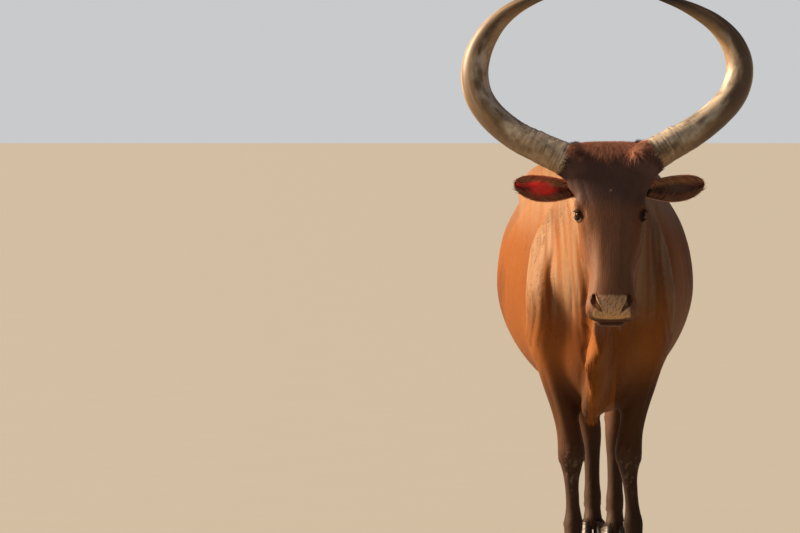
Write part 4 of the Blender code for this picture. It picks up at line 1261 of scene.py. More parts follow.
tonePlan = {
    "coat": (0.205, 0.064, 0.0125),
    "bright": (0.3, 0.105, 0.02),
    "dark": (0.095, 0.03, 0.011),
    # pale: painted sheen, the light that the glossy coat catches on the top of the back and the neck's sides
    "pale": (0.28, 0.165, 0.094),
    # leg and cannon: the lower legs darker, partly their own coat and partly painted shade under the body
    "leg": (0.081, 0.034, 0.0155),
    "cannon": (0.048, 0.029, 0.0195),
    # poll: the tuft's own redder hair, made paler with painted rim light
    "poll": (0.4, 0.175, 0.112),
    # face and forehead: painted shade, the front of the face darker and cooler than the coat and the forehead
    # darker still, as under the horns' shadow
    "face": (0.16, 0.078, 0.048),
    "forehead": (0.094, 0.053, 0.044),
    "scuff": (0.27, 0.185, 0.15),
    "nose": (0.53, 0.325, 0.19),
    "noseLow": (0.5, 0.29, 0.12),
    "noseDark": (0.14, 0.075, 0.042),
    # lip: dark lip skin, with painted shade in the mouth's crease and under the nose pad
    "lip": (0.045, 0.019, 0.011),
    "eyeRim": (0.03, 0.014, 0.011),
    # inside: the nostrils' dark lining, with painted shade deep in the hollow
    "inside": (0.012, 0.005, 0.004),
    "udder": (0.33, 0.14, 0.085),
    "spot": (0.42, 0.26, 0.19),
}


# The coat's and the skin's colour at each point, with painted sheen and painted shade laid into it
def toneOf(points):
    plan = {name: np.array(colour) for name, colour in tonePlan.items()}
    x, y, z = points.T
    w, u, v = headPlace(points).T

    tone = np.tile(plan["coat"], (len(points), 1))

    def lay(name, share):
        tone[:] = tone + (plan[name] - tone) * np.clip(share, 0, 1)[:, None]

    lay("bright", 0.45 * ramp(wavy(points, 0.42, 31), 0.1, 1.4))
    lay("dark", 0.55 * ramp(wavy(points, 0.35, 32), 0.2, 1.5))
    onHead = headShare(points, "tone")
    # painted sheen: the top of the back and uneven bands down the neck's sides take the pale tone, where the
    # glossy coat would catch the light
    bands = ramp(neckBands(points), -1.0, 0.6)
    fineBands = ramp(wavy(np.stack([neckFan(points), z * 0.06, y * 0.05], -1), 0.024, 63), -1.2, 0.4)
    bands = bands * (0.62 + 0.38 * fineBands)
    high = 0.85 * ramp(z, 0.98, 1.16) * (0.6 + 0.4 * bands)
    neckSheen = neckSide(points) * (0.12 + 0.88 * bands) * ramp(z, 0.72, 0.9)
    lay("pale", np.maximum(high, neckSheen) * (1 - onHead))
    # the lower legs darker, partly their own coat and partly painted shade under the body
    onLegs = (1 - onHead) * ((np.abs(x) > 0.045) | ((y > -0.35) & (z < 0.5)))
    lay("leg", ramp(z, 0.68, 0.52) * onLegs)
    lay("cannon", 0.8 * ramp(z, 0.42, 0.3))
    # painted shade: the front of the face darker and cooler, the forehead darker still, as in the shadow of
    # the horns
    lay("face", onHead * 0.9 * ramp(np.abs(w), 0.12, 0.05))
    lay("forehead", onHead * ramp(u, 0.23, 0.15) * ramp(v, -0.11, -0.04))
    # the poll's redder tuft, made paler with painted rim light
    onPoll = onHead * ramp(u + 0.012 * wavy(points, 0.03, 33), 0.056, 0.002) * ramp(v, -0.1, -0.05)
    lay("poll", onPoll)
    lay("spot", onHead * np.exp(-((w - 0.001) ** 2 + (u - 0.146) ** 2) / 0.0032**2))
    # pale scuffs on the fronts of the knees and cannons
    for name in ("front_left", "front_right"):
        cx, cy, _, deep = legAxis(name, z)
        onFront = ramp((cy - y) / deep, 0.35, 0.9) * (np.abs(x - cx) < 0.07)
        rough = ramp(wavy(points, 0.022, 41) + 0.6 * wavy(points, 0.009, 42), 0.55, 1.5)
        lay("scuff", 0.45 * onFront * rough * ramp(z, 0.2, 0.27) * ramp(z, 0.4, 0.33))
    lay("udder", udderShare(points))
    # dark lip skin along the mouth and under the nose pad, with painted shade in the mouth's crease
    lay("lip", 1.3 * ridge(points, faceMarks["mouth"], 0.0075, 1.0, endFade=0.1))
    under = ramp(u, 0.485, 0.51) * ramp(v, -0.064, -0.074) * ramp(v, -0.112, -0.1) * onHead
    lay("lip", 0.75 * under)
    mottle = ramp(wavy(points, 0.014, 51) + wavy(points, 0.006, 52), 0.1, 1.5)
    lay("nose", noseShare(points))
    lay("noseLow", noseShare(points) * ramp(v, -0.03, -0.056))
    lay("noseDark", noseShare(points) * mottle * 0.66)
    # the nostrils darken towards their hollow: their dark lining, and painted shade deep inside
    for side in sides:
        lay("noseDark", ramp(nostrilShare(points, side), -0.05, 0.15))
        lay("inside", ramp(nostrilShare(points, side), 0.12, 0.45))
        lay("eyeRim", ramp(eyeGap(points, side), 0.027, 0.016))
    return tone


def paintSkin(obj):
    points = pointsOf(obj)
    attach(obj, "tone", colourOf(toneOf(points)))
    attach(obj, "bare", bareness(points))
    attach(obj, "nose", noseShare(points))
    attach(obj, "parts", np.stack(partShares(points, "lie"), -1))


# Hide and short hair: streaks along the lie of the coat in colour and bump, and bare skin where it shows

hidePlan = {
    "streaksAcross": 330.0,
    "streaksAlong": 26.0,
    # how far the lie leans down from straight back, on the trunk, neck, legs and head
    "leans": (-12.0, -66.0, -90.0, -118.0),
}


def streaks(wire):
    plan = hidePlan
    fields = []
    for lean in plan["leans"]:
        fine = (1 / plan["streaksAcross"], 1 / plan["streaksAlong"], 1 / plan["streaksAcross"])
        turned = wire.node("ShaderNodeMapping", {"vector_type": "TEXTURE"},
                           {"Vector": wire.place(), "Rotation": (math.radians(lean), 0, 0), "Scale": fine})
        fields.append(wire.noise(turned, 1.0, detail=2.0))
    parts = wire.attribute("parts")
    split = [wire.node("ShaderNodeSeparateXYZ", {}, {0: parts}, output=k) for k in range(3)]
    trunkShare = 1 - split[0] - split[1] - split[2]
    return trunkShare * fields[0] + split[0] * fields[1] + split[1] * fields[2] + split[2] * fields[3]


coatShine = {"Sheen_Roughness": 0.45, "Sheen_Tint": (1.0, 0.6, 0.35, 1.0), "Specular_IOR_Level": 0.06}


def hideMaterial():
    made, wire = finish("hide", Sheen_Weight=0.01, **coatShine)
    hair = streaks(wire)
    tone = wire.tone()
    bare = wire.attribute("bare", output="Fac")
    nose = wire.attribute("nose", output="Fac")
    coarse = wire.noise(wire.place(), 46.0, detail=4.0)
    shade = (0.8 + 0.4 * hair) * (0.9 + 0.2 * coarse)
    furColour = shade.tint(tone)
    pores = wire.cells(wire.place(), 420.0)
    bareColour = (0.8 + 0.4 * wire.noise(wire.place(), 210.0)).tint(tone)
    colour = bare.mix(furColour, bareColour)
    pebbles = wire.cells(wire.place(), 330.0)
    wrinkles = wire.noise(wire.place(), 260.0, detail=4.0)
    height = (1 - bare) * hair + bare * (0.3 * wrinkles + 0.12 * pores) + nose * 0.9 * pebbles
    roughness = 0.6 - 0.1 * hair - 0.1 * bare - 0.16 * nose
    return connect(made, Base_Color=colour, Roughness=roughness, Normal=wire.bump(height, 0.0011, 0.85))


paintSkin(skin)
hide = hideMaterial()
fleshNodes = ["head", "neck", "trunk", "dewlap", "tail", "udder"]
fleshNodes += ["leg_" + name for name in legPlan["steps"]]
print("skin painted")


# Eyes: a ball with a low cornea, a dark brown iris and a long level pupil

irisPlan = {
    "irisSize": 0.66,
    "pupil": (0.34, 0.15),
    "iris": (0.05, 0.018, 0.008),
    "irisEdge": (0.012, 0.005, 0.004),
    "white": (0.055, 0.03, 0.022),
    "cornea": 0.0008,
    "rings": 34,
    "around": 44,
}


def eyeMaterial():
    plan = irisPlan
    made, wire = finish("eye", Roughness=0.2, Specular_IOR_Level=0.12, Coat_Weight=0.05, Coat_Roughness=0.05)
    look = wire.attribute("look")
    across, up = [wire.node("ShaderNodeSeparateXYZ", {}, {0: look}, output=k) for k in (0, 1)]
    out = (across * across + up * up) ** 0.5
    wide, high = plan["pupil"]
    pupil = ((across * (1 / wide)) ** 2 + (up * (1 / high)) ** 2).between(1.25, 0.85)
    fibres = wire.fibres(look, (30.0, 30.0, 4.0))
    iris = (out * (1 / plan["irisSize"])).between(0.35, 1.0).mix(plan["iris"], plan["irisEdge"])
    iris = (0.6 + 0.8 * fibres).tint(iris)
    veins = wire.fibres(look, (9.0, 9.0, 9.0), detail=5.0).between(0.5, 0.75)
    white = veins.mix(plan["white"], [0.6 * part for part in plan["white"]])
    colour = out.between(plan["irisSize"] - 0.03, plan["irisSize"] + 0.05).mix(iris, white)
    return connect(made, Base_Color=pupil.mix(colour, (0.0015, 0.001, 0.001)))


def makeEyes():
    plan = irisPlan
    gloss = eyeMaterial()
    radius = eyePlan["radius"] - 0.0003
    for side in sides:
        centre, axes = eyeFrame(side)
        polar = np.linspace(0.02, math.pi - 0.02, plan["rings"])
        turn = turns(plan["around"])
        local = np.stack([np.outer(np.sin(polar), np.cos(turn)), np.outer(np.sin(polar), np.sin(turn)),
                          np.outer(np.cos(polar), np.ones(len(turn)))], -1)
        raised = radius + plan["cornea"] * ramp(local[..., 2], 0.76, 0.98)
        rings = centre + (local * raised[..., None]) @ axes
        eye = build("eye_ball_" + side, [loft(rings)])
        attach(eye, "look", local)
        placed(eye, gloss, "eye", "eye_" + side)


makeEyes()


# Lids: a soft ring round each opening, from the wet edge on the eyeball out to under the skin

lidPlan = {
    # size of the ring against the opening, what it is measured from, and its height over that
    "rows": [(0.95, "eye", -0.0012), (0.955, "eye", 0.001), (1.00, "eye", 0.0024), (1.07, "eye", 0.0036),
             (1.2, "skin", 0.0018), (1.38, "skin", 0.0008), (1.62, "skin", -0.0014), (1.35, "skin", -0.005),
             (1.02, "eye", -0.003)],
    "around": 72,
    "upperLid": 0.0012,
    "rim": (0.022, 0.011, 0.009),
    "lashes": 34,
    "lashLength": (0.01, 0.017),
    "lashWidth": 0.0009,
    "lashHeight": 0.0015,
}


def almond(size, turn):
    wide, high = eyePlan["opening"]
    return size * wide * math.cos(turn), size * high * float(power(math.sin(turn), 1.25))


def lidPoint(surface, side, size, turn, base, height):
    centre, (across, up, out) = eyeFrame(side)
    a, b = almond(size, turn)
    c = math.sqrt(max(eyePlan["radius"] ** 2 - a * a - b * b, 0.00002))
    spot = centre + across * a + up * b
    if base == "skin":
        hit = surface.ray_cast(Vector(spot + out * 0.05), Vector(-out))[0]
        if hit:
            c = max((np.array(hit) - centre) @ out, c * 0.6)
    upper = lidPlan["upperLid"] * max(math.sin(turn), 0) * (1.0 if 0.97 < size < 1.3 else 0.0)
    return spot + out * (c + height + upper)


# Joins the last ring of a lid to its first
def closeLid(shape):
    bmesh.ops.remove_doubles(shape, verts=shape.verts, dist=0.00002)
    faceOut(shape)


def makeLids(surface):
    plan = lidPlan
    around = [2 * math.pi * k / plan["around"] for k in range(plan["around"])]
    made, wire = finish("lid", Specular_IOR_Level=0.1)
    fine = wire.noise(wire.place(), 420.0, detail=4.0)
    connect(made, Base_Color=(0.75 + 0.5 * fine).tint(wire.tone()), Normal=wire.bump(fine, 0.0004, 0.5),
            Roughness=0.5 + 0.2 * fine)
    for side in sides:
        rings = [[lidPoint(surface, side, size, turn, base, height) for turn in around]
                 for size, base, height in plan["rows"]]
        grid = np.array(rings + [rings[0]])
        points, faces = loft(grid)
        lids = build("lids_" + side, [(points, faces[:-2])])
        reshape(lids.data, closeLid)
        spots = pointsOf(lids)
        centre, axes = eyeFrame(side)
        a, b, _ = ((spots - centre) @ axes.T).T
        wide, high = eyePlan["opening"]
        ring = (np.abs(a) / wide) ** 2 + (np.abs(b) / high) ** 1.6
        share = ramp(ring, 1.25, 2.6)[:, None]
        tones = blend(plan["rim"], toneOf(spots), share)
        attach(lids, "tone", colourOf(tones))
        placed(lids, made, "coat", "head")


skinSurface = surfaceOf(skin)
makeLids(skinSurface)
print("eyes and lids made")


# Hair: each lock is a closed tapered blade of three sides, its root sunk in the skin, shaded as the skin is

bladePlan = {
    "ridge": 0.15,
    "taper": 0.75,
    "taperCurve": 1.5,
    "settle": 0.42,
    "edgeTurn": 0.35,
}


def blades(roots, normals, lies, lengths, widths, lifts, steps=3, sink=0.0006, drop=0.0, curl=None):
    plan = bladePlan
    count = len(roots)
    across = unit(np.cross(lies, normals))
    points = np.empty((count, steps * 3 + 1, 3))
    where = np.zeros((steps * 3 + 1, 2))
    for k in range(steps + 1):
        t = k / steps
        middle = roots - normals * sink + lies * (lengths * t)[:, None]
        middle = middle + normals * (lengths * lifts * (t - plan["settle"] * t * t))[:, None]
        middle[:, 2] -= lengths * drop * t * t
        if curl is not None:
            middle = middle + curl * (lengths * t * t)[:, None]
        if k == steps:
            points[:, -1] = middle
            where[-1] = (0.0, 1.0)
            break
        half = (widths * 0.5 * (1 - plan["taper"] * t ** plan["taperCurve"]))[:, None]
        points[:, 3 * k] = middle - across * half
        points[:, 3 * k + 1] = middle + across * half
        points[:, 3 * k + 2] = middle + normals * half * plan["ridge"]
        where[3 * k : 3 * k + 3] = [(-0.5, t), (0.5, t), (0.0, t + 0.15)]
    faces = [(0, 1, 2)]
    for k in range(steps - 1):
        for a, b in ((0, 1), (1, 2), (2, 0)):
            near, far = 3 * k, 3 * k + 3
            faces += [(near + a, far + b, near + b), (near + a, far + a, far + b)]
    last, tip = 3 * (steps - 1), 3 * steps
    faces += [(last + a, tip, last + b) for a, b in ((0, 1), (1, 2), (2, 0))]
    facing = np.repeat(normals[:, None], tip + 1, 1)
    facing[:, 0:tip:3] -= across[:, None] * plan["edgeTurn"]
    facing[:, 1:tip:3] += across[:, None] * plan["edgeTurn"]
    return points, np.array(faces), where, facing


def roundShare(first, second):
    return np.arctan2(first, second) / (2 * np.pi) + 0.5


# Where a root lies on an unwrap of the skin: its turn round its own part, and its way along it
def chartPlace(points, labels):
    x, y, z = points.T
    w, u, v = headPlace(points).T
    places = np.stack([roundShare(x, z - 0.87), (y + 0.75) / 1.75], -1)
    for name, k in legLabels.items():
        on = labels == k
        cx, cy, _, _ = legAxis(name, z[on])
        places[on] = np.stack([roundShare(x[on] - cx, y[on] - cy), z[on] / 0.8], -1)
    around = {
        4: (w, v + 0.09, u / 0.58 + 0.06),
        5: (x, z - 1.02, (y + 1.05) / 0.75),
        6: (x, y - 0.93, z / 1.1),
    }
    for k, (first, second, run) in around.items():
        on = labels == k
        places[on] = np.stack([roundShare(first[on], second[on]), run[on]], -1)
    on = labels == 8
    side = np.where(x[on] > 0, 0.5, 0.0)
    places[on] = np.stack([side + (z[on] - 0.42) * 0.65, (y[on] + 1.02) / 0.8], -1)
    return np.clip(places, 0.004, 0.996)


furPlan = {
    "patch": 0.003,
    "most": 19000,
    "rootShade": 0.9,
    "tipShade": 0.16,
}


# Blades as one mesh with its colours, each blade a small patch of the bake map at its root's place
def furPiece(name, blade, tones, places, material, slot, *nodes):
    points, faces, where, facing = blade
    count, each = points.shape[:2]
    whole = (faces[None] + (np.arange(count) * each)[:, None, None]).reshape(-1, 3)
    fur = buildFine(name, points.reshape(-1, 3), whole)
    run = where[:, 1]
    shade = furPlan["rootShade"] + furPlan["tipShade"] * run
    colours = tones[:, None, :] * shade[None, :, None]
    attach(fur, "tone", colourOf(colours.reshape(-1, 3)))
    flat = (places[:, None] + (where - (0, 0.5))[None] * furPlan["patch"]).reshape(-1, 2)
    layer = fur.data.uv_layers.new(name="OFBake")
    layer.data.foreach_set("uv", flat[whole.ravel()].astype(np.float32).ravel())
    placed(fur, material, slot, *nodes)
    fur.data.normals_split_custom_set_from_vertices(unit(facing.reshape(-1, 3)))


def furMaterial(name):
    made, wire = finish(name, Sheen_Weight=0.02, **coatShine)
    fine = wire.noise(wire.place(), 240.0, detail=2.0)
    return connect(made, Base_Color=(0.78 + 0.44 * fine).tint(wire.tone()), Roughness=0.5 + 0.12 * fine)


fur = furMaterial("fur")


# Points spread evenly over a mesh at the asked number to the square metre
def scatter(obj, density, draw):
    mesh = obj.data
    mesh.calc_loop_triangles()
    corners = np.empty(len(mesh.loop_triangles) * 3, np.int32)
    mesh.loop_triangles.foreach_get("vertices", corners)
    corners = corners.reshape(-1, 3)
    points, normals = pointsOf(obj), pointsOf(obj, "normal")
    a, b, c = (points[corners[:, k]] for k in range(3))
    wanted = np.linalg.norm(np.cross(b - a, c - a), axis=1) / 2 * density[corners].mean(1)
    total = np.cumsum(wanted)
    count = int(total[-1])
    picked = np.searchsorted(total, (np.arange(count) + draw.random(count)) * total[-1] / count)
    picked = np.minimum(picked, len(corners) - 1)
    first, second = draw.random(count), draw.random(count)
    over = first + second > 1
    first[over], second[over] = 1 - first[over], 1 - second[over]
    shares = np.stack([1 - first - second, first, second], -1)[..., None]
    roots = (points[corners[picked]] * shares).sum(1)
    return roots, unit((normals[corners[picked]] * shares).sum(1))


# The short coat: how thick it stands, how long, wide and raised its tufts are, from body to face and feet

coatPlan = {
    "quickShare": 0.35,
    "paleTufts": 0.1,
    "toneSpread": (0.82, 1.22),
    # tufts to the square metre, length, width, lift
    "body": (17000, 0.0185, 0.0024, 0.032),
    "neck": (19000, 0.02, 0.0023, 0.032),
    "leg": (32000, 0.012, 0.0018, 0.05),
    "head": (56000, 0.0085, 0.0014, 0.055),
    "sway": 0.11,
    "streak": 0.15,
}


def coatSizes(points):
    onNeck, onLeg, onHead = partShares(points, "coat")
    shares = np.stack([1 - onNeck - onLeg - onHead, onNeck, onLeg, onHead])
    kinds = np.array([coatPlan[kind] for kind in ("body", "neck", "leg", "head")])
    return (shares.T @ kinds).T


hoofTop = 0.062


def insideHooves(points):
    return points[:, 2] < hoofTop


def makeCoat(skin):
    draw = np.random.default_rng(3)
    points = pointsOf(skin)
    density = coatSizes(points)[0] * np.clip(1 - 1.3 * bareness(points), 0, 1) * ~insideHooves(points)
    roots, normals = scatter(skin, density, draw)
    sizes = coatSizes(roots)
    count = len(roots)
    lies = lieOf(roots, normals)
    across = np.cross(lies, normals)
    lies = unit(lies + across * (draw.normal(size=count) * coatPlan["sway"])[:, None])
    lengths = sizes[1] * draw.uniform(0.7, 1.25, count)
    widths = sizes[2] * draw.uniform(0.75, 1.25, count)
    lifts = sizes[3] * draw.uniform(0.6, 1.5, count)
    streak = wavy(roots * (1, 0.45, 0.22), 0.016, 24)[:, None]
    pale = (draw.random((count, 1)) < coatPlan["paleTufts"]) * draw.uniform(0.2, 0.7, (count, 1))
    spread = draw.uniform(*coatPlan["toneSpread"], (count, 1))
    tones = toneOf(roots) * (1 + coatPlan["streak"] * streak) * spread
    tones = np.clip(tones, 0.008, 1) * (1 + pale * (0.5, 0.8, 1.0))
    labels = labelsOf(roots)
    groups = {"head": [4], "neck": [5, 8], "front_legs": [0, 1], "hind_legs": [2, 3], "body": [6, 7]}
    for group, members in groups.items():
        chosen = np.flatnonzero(np.isin(labels, members))
        chosen = chosen[np.argsort(roots[chosen, 1], kind="stable")]
        pieces = max(1, math.ceil(len(chosen) / furPlan["most"]))
        for k, part in enumerate(np.array_split(chosen, pieces)):
            places = chartPlace(roots[part], labels[part])
            present = sorted(set(labels[part]))
            rank = np.searchsorted(present, labels[part])
            places[:, 0] = (rank + places[:, 0]) / len(present)
            blade = blades(roots[part], normals[part], lies[part], lengths[part], widths[part], lifts[part],
                           steps=2)
            furPiece(f"coat_{group}_{k + 1}", blade, tones[part], places, fur, "coat")
    print("coat made:", count, "tufts")


makeCoat(skin)


# Ears: a leaf-shaped cup, its back and rim haired, with long hair over the opening

earPlan = {
    "root": (0.108, -0.955, 1.172),
    "tip": (0.288, -0.952, 1.193),
    "halfWidth": 0.042,
    "widest": 0.52,
    "cup": 0.026,
    "thickness": 0.0055,
    "back": (0, 0.97, 0.18),
    "droop": -0.006,
    "sunk": -0.07,
    "arc": 80,
    "ruffle": 0.0016,
    "backArea": 0.024,
    # painted light: the right ear's inside is red as if lit through from behind and glows more, the left's
    # dark as in shade; the pale rim is a painted rim light
    "inside": {"left": (0.06, 0.03, 0.019), "right": (0.42, 0.034, 0.024)},
    "insideTip": (0.034, 0.015, 0.01),
    "glow": {"left": 0.2, "right": 0.75},
    "rim": (0.48, 0.25, 0.16),
    "backTufts": 34000,
    "backSizes": (0.009, 0.0017, 0.12),
    "innerTufts": 620,
    "innerLength": (0.014, 0.03),
    "innerWidth": (0.0008, 0.0014),
}


def leafWidth(t):
    wide = earPlan["widest"]
    late = np.clip((t - wide) / (1 - wide), 0, 1)
    early = 0.56 + 0.44 * np.sin(np.pi / 2 * np.clip(t, 0, wide) / wide)
    return np.where(t < wide, early, (1 - late**2.3) ** 0.55)


def earFrame(side):
    sign = (sides[side], 1, 1)
    middle = (poll[0], 0, 0)
    root, tip = (np.array(earPlan[end]) * sign + middle for end in ("root", "tip"))
    along = unit(tip - root)
    back = np.array(earPlan["back"])
    back = unit(back - along * (back @ along))
    up = np.cross(along, back)
    return root, tip, along, back, up if up[2] > 0 else -up


# The place on an ear's shell: t from root to tip, turn over its arc, layer 1 outside and -1 inside
def earPoint(side, t, turn, layer):
    plan = earPlan
    root, tip, _, back, up = earFrame(side)
    half = plan["halfWidth"] * leafWidth(t)
    cup = plan["cup"] * (1.15 - 0.75 * t)
    wall = plan["thickness"] * (1.5 - 0.8 * t)
    wide = half - wall * 0.6 * (layer < 0)
    ruffle = plan["ruffle"] * np.sin(9.0 * t + 5.0 * turn) * (layer < 0)
    spot = root + (tip - root) * t[..., None]
    spot = spot + up * (wide * np.sin(turn) + plan["droop"] * np.sin(np.pi * t))[..., None]
    return spot + back * (cup * np.cos(turn) + layer * wall / 2 + ruffle)[..., None]


# The place of each hair of the ear on the bake map
def earPlaces(t, turn):
    return np.stack([0.1 + 0.7 * t, turn / 4 + 0.5], -1)


def makeEar(side, draw):
    plan = earPlan
    rounded = 0.9 + 0.098 * np.sin(np.linspace(0.1, 1.5708, 9))
    steps = np.concatenate([np.linspace(plan["sunk"], 0.9, 30), rounded])
    arc = np.radians(np.linspace(-plan["arc"], plan["arc"], 30))
    t, turn = np.meshgrid(steps, arc, indexing="ij")
    rings = np.concatenate([earPoint(side, t, turn, 1), earPoint(side, t, turn, -1)[:, ::-1]], 1)
    shell = build("ear_shell_" + side, [loft(rings)])
    inner = np.concatenate([np.zeros_like(t), np.ones_like(t)], 1).ravel()
    arcs = np.concatenate([turn, turn[:, ::-1]], 1).ravel()
    runs = np.concatenate([t, t], 1).ravel()
    # painted light: a red glow in the middle of the right ear's inside, a pale painted rim light on both, and
    # both darker towards the tip
    rimLight = ramp(np.abs(arcs), 0.8, 1.0) * 0.3 + ramp(np.abs(arcs), 1.2, 1.36) * ramp(runs, 0.92, 0.7)
    base = np.array(tonePlan["coat"]) * (1 - 0.75 * ramp(runs, 0.7, 0.92))[:, None]
    towardTip = np.clip(ramp(runs, 0.62, 0.82) + ramp(runs, 0.4, 0.2), 0, 1)[:, None]
    deep = blend(plan["inside"][side], plan["insideTip"], towardTip) * (0.65 + 0.45 * np.cos(arcs))[:, None]
    base = base + (deep - base) * inner[:, None]
    base = base + (np.array(plan["rim"]) - base) * (np.clip(rimLight, 0, 1) * 0.7)[:, None]
    attach(shell, "tone", colourOf(base))
    # each ear gets its own skin: a lit and a shaded copy, with more subsurface glow on the right
    made, wire = finish("ear_skin_" + side, Specular_IOR_Level=0.4, Subsurface_Weight=plan["glow"][side],
                        Subsurface_Scale=0.02, Subsurface_Radius=(1.0, 0.25, 0.12))
    fine = wire.noise(wire.place(), 160.0, detail=4.0)
    connect(made, Base_Color=(0.72 + 0.56 * fine).tint(wire.tone()), Roughness=0.5 + 0.2 * fine,
            Normal=wire.bump(fine, 0.0008, 0.6))
    placed(shell, made, "coat", "ear_" + side)

    root, tip, along, back, up = earFrame(side)
    count = int(plan["backTufts"] * plan["backArea"] * (1.0))
    t = draw.uniform(0.0, 0.985, count)
    turn = np.radians(draw.uniform(-plan["arc"], plan["arc"], count))
    here = earPoint(side, t, turn, 1)
    tipWard = unit(earPoint(side, np.minimum(t + 0.02, 0.995), turn, 1) - here + along * 0.001)
    cross = earPoint(side, t, turn + 0.02, 1) - here
    normals = unit(np.cross(tipWard, cross))
    normals *= np.sign((normals * (here - root - (tip - root) * t[:, None] + back * 0.01)).sum(1))[:, None]
    sway = draw.normal(size=count) * 0.25
    lies = unit(tipWard + unit(cross) * sway[:, None])
    length, width, lift = plan["backSizes"]
    lengths = length * draw.uniform(0.7, 1.3, count)
    widths = width * draw.uniform(0.7, 1.3, count)
    blade = blades(here, normals, lies, lengths, widths, lift * draw.uniform(0.5, 1.8, count), steps=2)
    tones = toneOf(here) * draw.uniform(0.75, 1.4, (count, 1))
    furPiece("ear_coat_" + side, blade, tones, earPlaces(t, turn), fur, "coat", "ear_" + side)

    count = int(plan["innerTufts"] * (1.0))
    t = draw.uniform(0.02, 0.93, count)
    edge = np.where(draw.random(count) < 0.5, -1.0, 1.0)
    turn = edge * np.radians(draw.uniform(38, plan["arc"], count))
    here = earPoint(side, t, turn, -1)
    normals = unit(-back + up * (-edge * 0.5)[:, None])
    lies = along * draw.uniform(0.5, 1.1, count)[:, None]
    lies = lies - up * (edge * draw.uniform(0.2, 0.9, count))[:, None]
    lies = unit(lies - back * draw.uniform(0.1, 0.5, count)[:, None])
    blade = blades(here, normals, lies, between(draw, plan["innerLength"], count),
                   between(draw, plan["innerWidth"], count), draw.uniform(0.0, 0.25, count))
    # the hair over the opening takes in part the rim's painted rim light
    tones = blend(plan["rim"], tonePlan["coat"], draw.random((count, 1)))
    furPiece("ear_hair_" + side, blade, tones, earPlaces(t, turn), fur, "coat", "ear_" + side)


earDraw = np.random.default_rng(11)
for side in sides:
    makeEar(side, earDraw)
print("ears made")


# Horns: a long tube that tapers to a dark point, with worn rings and cracks on its first third

# Uneven growth rings: shallow steps that come closer and weaker with the distance from the root
def hornRelief(run, turn, seed):
    plan = hornPlan
    spots = np.stack([np.cos(turn) * 0.05, np.sin(turn) * 0.05, run], -1).reshape(-1, 3)
    warp = wavy(spots, 0.16, seed).reshape(run.shape)
    phase = run / plan["ringApart"] + 0.35 * warp + 0.8 * np.sin(run * 31 + seed)
    saw = phase - np.floor(phase)
    step = saw**2.2 - 0.3
    flakes = np.clip(wavy(spots * (1, 1, 0.35), 0.012, seed + 1).reshape(run.shape), -0.5, 2.0)
    strength = ramp(run, plan["ringsEnd"], 0.1)
    upper = 0.5 + 0.5 * np.clip(np.sin(turn + 0.4), -0.4, 1)
    rough = wavy(spots * (1, 1, 0.5), 0.035, seed + 2).reshape(run.shape) * 0.0006
    relief = plan["ringDepth"] * step + plan["flakeDepth"] * flakes
    return strength * upper * relief + rough * (0.3 + 0.7 * strength)


def hornMaterial():
    plan = hornPlan
    made, wire = finish("horn", Specular_IOR_Level=0.4, Coat_Weight=0.04, Coat_Roughness=0.4)
    grain = wire.attribute("grain")
    share = wire.attribute("share", output="Fac")
    low = wire.attribute("low", output="Fac")
    outside = wire.attribute("outside", output="Fac")
    along = wire.fibres(grain, (60.0, 60.0, 5.0), detail=5.0)
    blotch = wire.fibres(grain, (22.0, 22.0, 9.0), detail=4.0)
    across = wire.fibres(grain, (14.0, 14.0, 210.0), detail=3.0)
    cracks = wire.fibres(grain, (34.0, 34.0, 250.0), detail=6.0, rough=0.62)
    base = blotch.between(0.4, 0.62).mix(plan["cream"], plan["grey"])
    stain = (low * 0.5 + blotch * 0.9 - 0.12 * along).between(0.46, 0.78)
    base = (0.85 * stain).mix(base, plan["tan"])
    # a darker brown band down each horn's outer side, just inside its rim: partly the horn's own dark stripe,
    # partly painted shade
    outer = along.between(0.26, 0.56).mix(plan["tan"], plan["brown"])
    stripeAndShade = (outside + 0.9 * share + 1.6 * (blotch - 0.5)).between(0.05, 0.85) * share.between(0.06, 0.3)
    base = (0.9 * stripeAndShade * outside.between(1.0, 0.86)).mix(base, outer)
    base = (0.75 * along.between(0.5, 0.66) * blotch.between(0.42, 0.6)).mix(base, plan["stain"])
    base = share.between(0.8, 0.97).mix(base, plan["tip"])
    nearRoot = share.between(0.34, 0.06)
    dark = cracks.between(0.545, 0.61) * nearRoot * (1 - 0.6 * low)
    base = (0.85 * dark).mix(base, plan["crack"])
    shade = 0.62 + 0.46 * along + 0.36 * across * nearRoot
    height = along * 0.5 + across * nearRoot - 1.6 * dark
    return connect(made, Base_Color=shade.tint(base), Roughness=0.44 + 0.2 * nearRoot + 0.12 * along,
                   Normal=wire.bump(height, 0.0014, 0.8))


def makeHorns():
    plan = hornPlan
    gloss = hornMaterial()
    for seed, side in enumerate(sides):
        rows = hornRows(side)
        length = np.concatenate([[0], np.cumsum(np.linalg.norm(np.diff(rows[:, :3], axis=0), axis=1))])
        plain = tubeRings(rows[:, :3], rows[:, 3], count=plan["around"])
        middles = rows[:, None, :3]
        spokes = unit(plain - middles)
        run = np.tile(length[:, None], (1, plan["around"]))
        upward = np.arctan2(spokes[..., 2], spokes[..., 1])
        relief = hornRelief(run, upward, 61 + 7 * seed) * np.clip(rows[:, 3:] / 0.04, 0, 1)
        horn = build("horn_fine_" + side, [loft(plain + spokes * relief[..., None])])
        grain = np.concatenate([spokes[..., :2] * 0.045, run[..., None]], -1)
        attach(horn, "grain", grain + seed * 3.0)
        attach(horn, "share", run / length[-1])
        attach(horn, "low", np.clip(0.5 - 0.6 * spokes[..., 2], 0, 1))
        outward = unit((middles - (plan["ringCentre"][0], 0, plan["ringCentre"][1])) * (1, 0, 1))
        attach(horn, "outside", (spokes * outward).sum(-1))
        placed(horn, gloss, "horn", "horn_" + side)


makeHorns()
print("horns made")


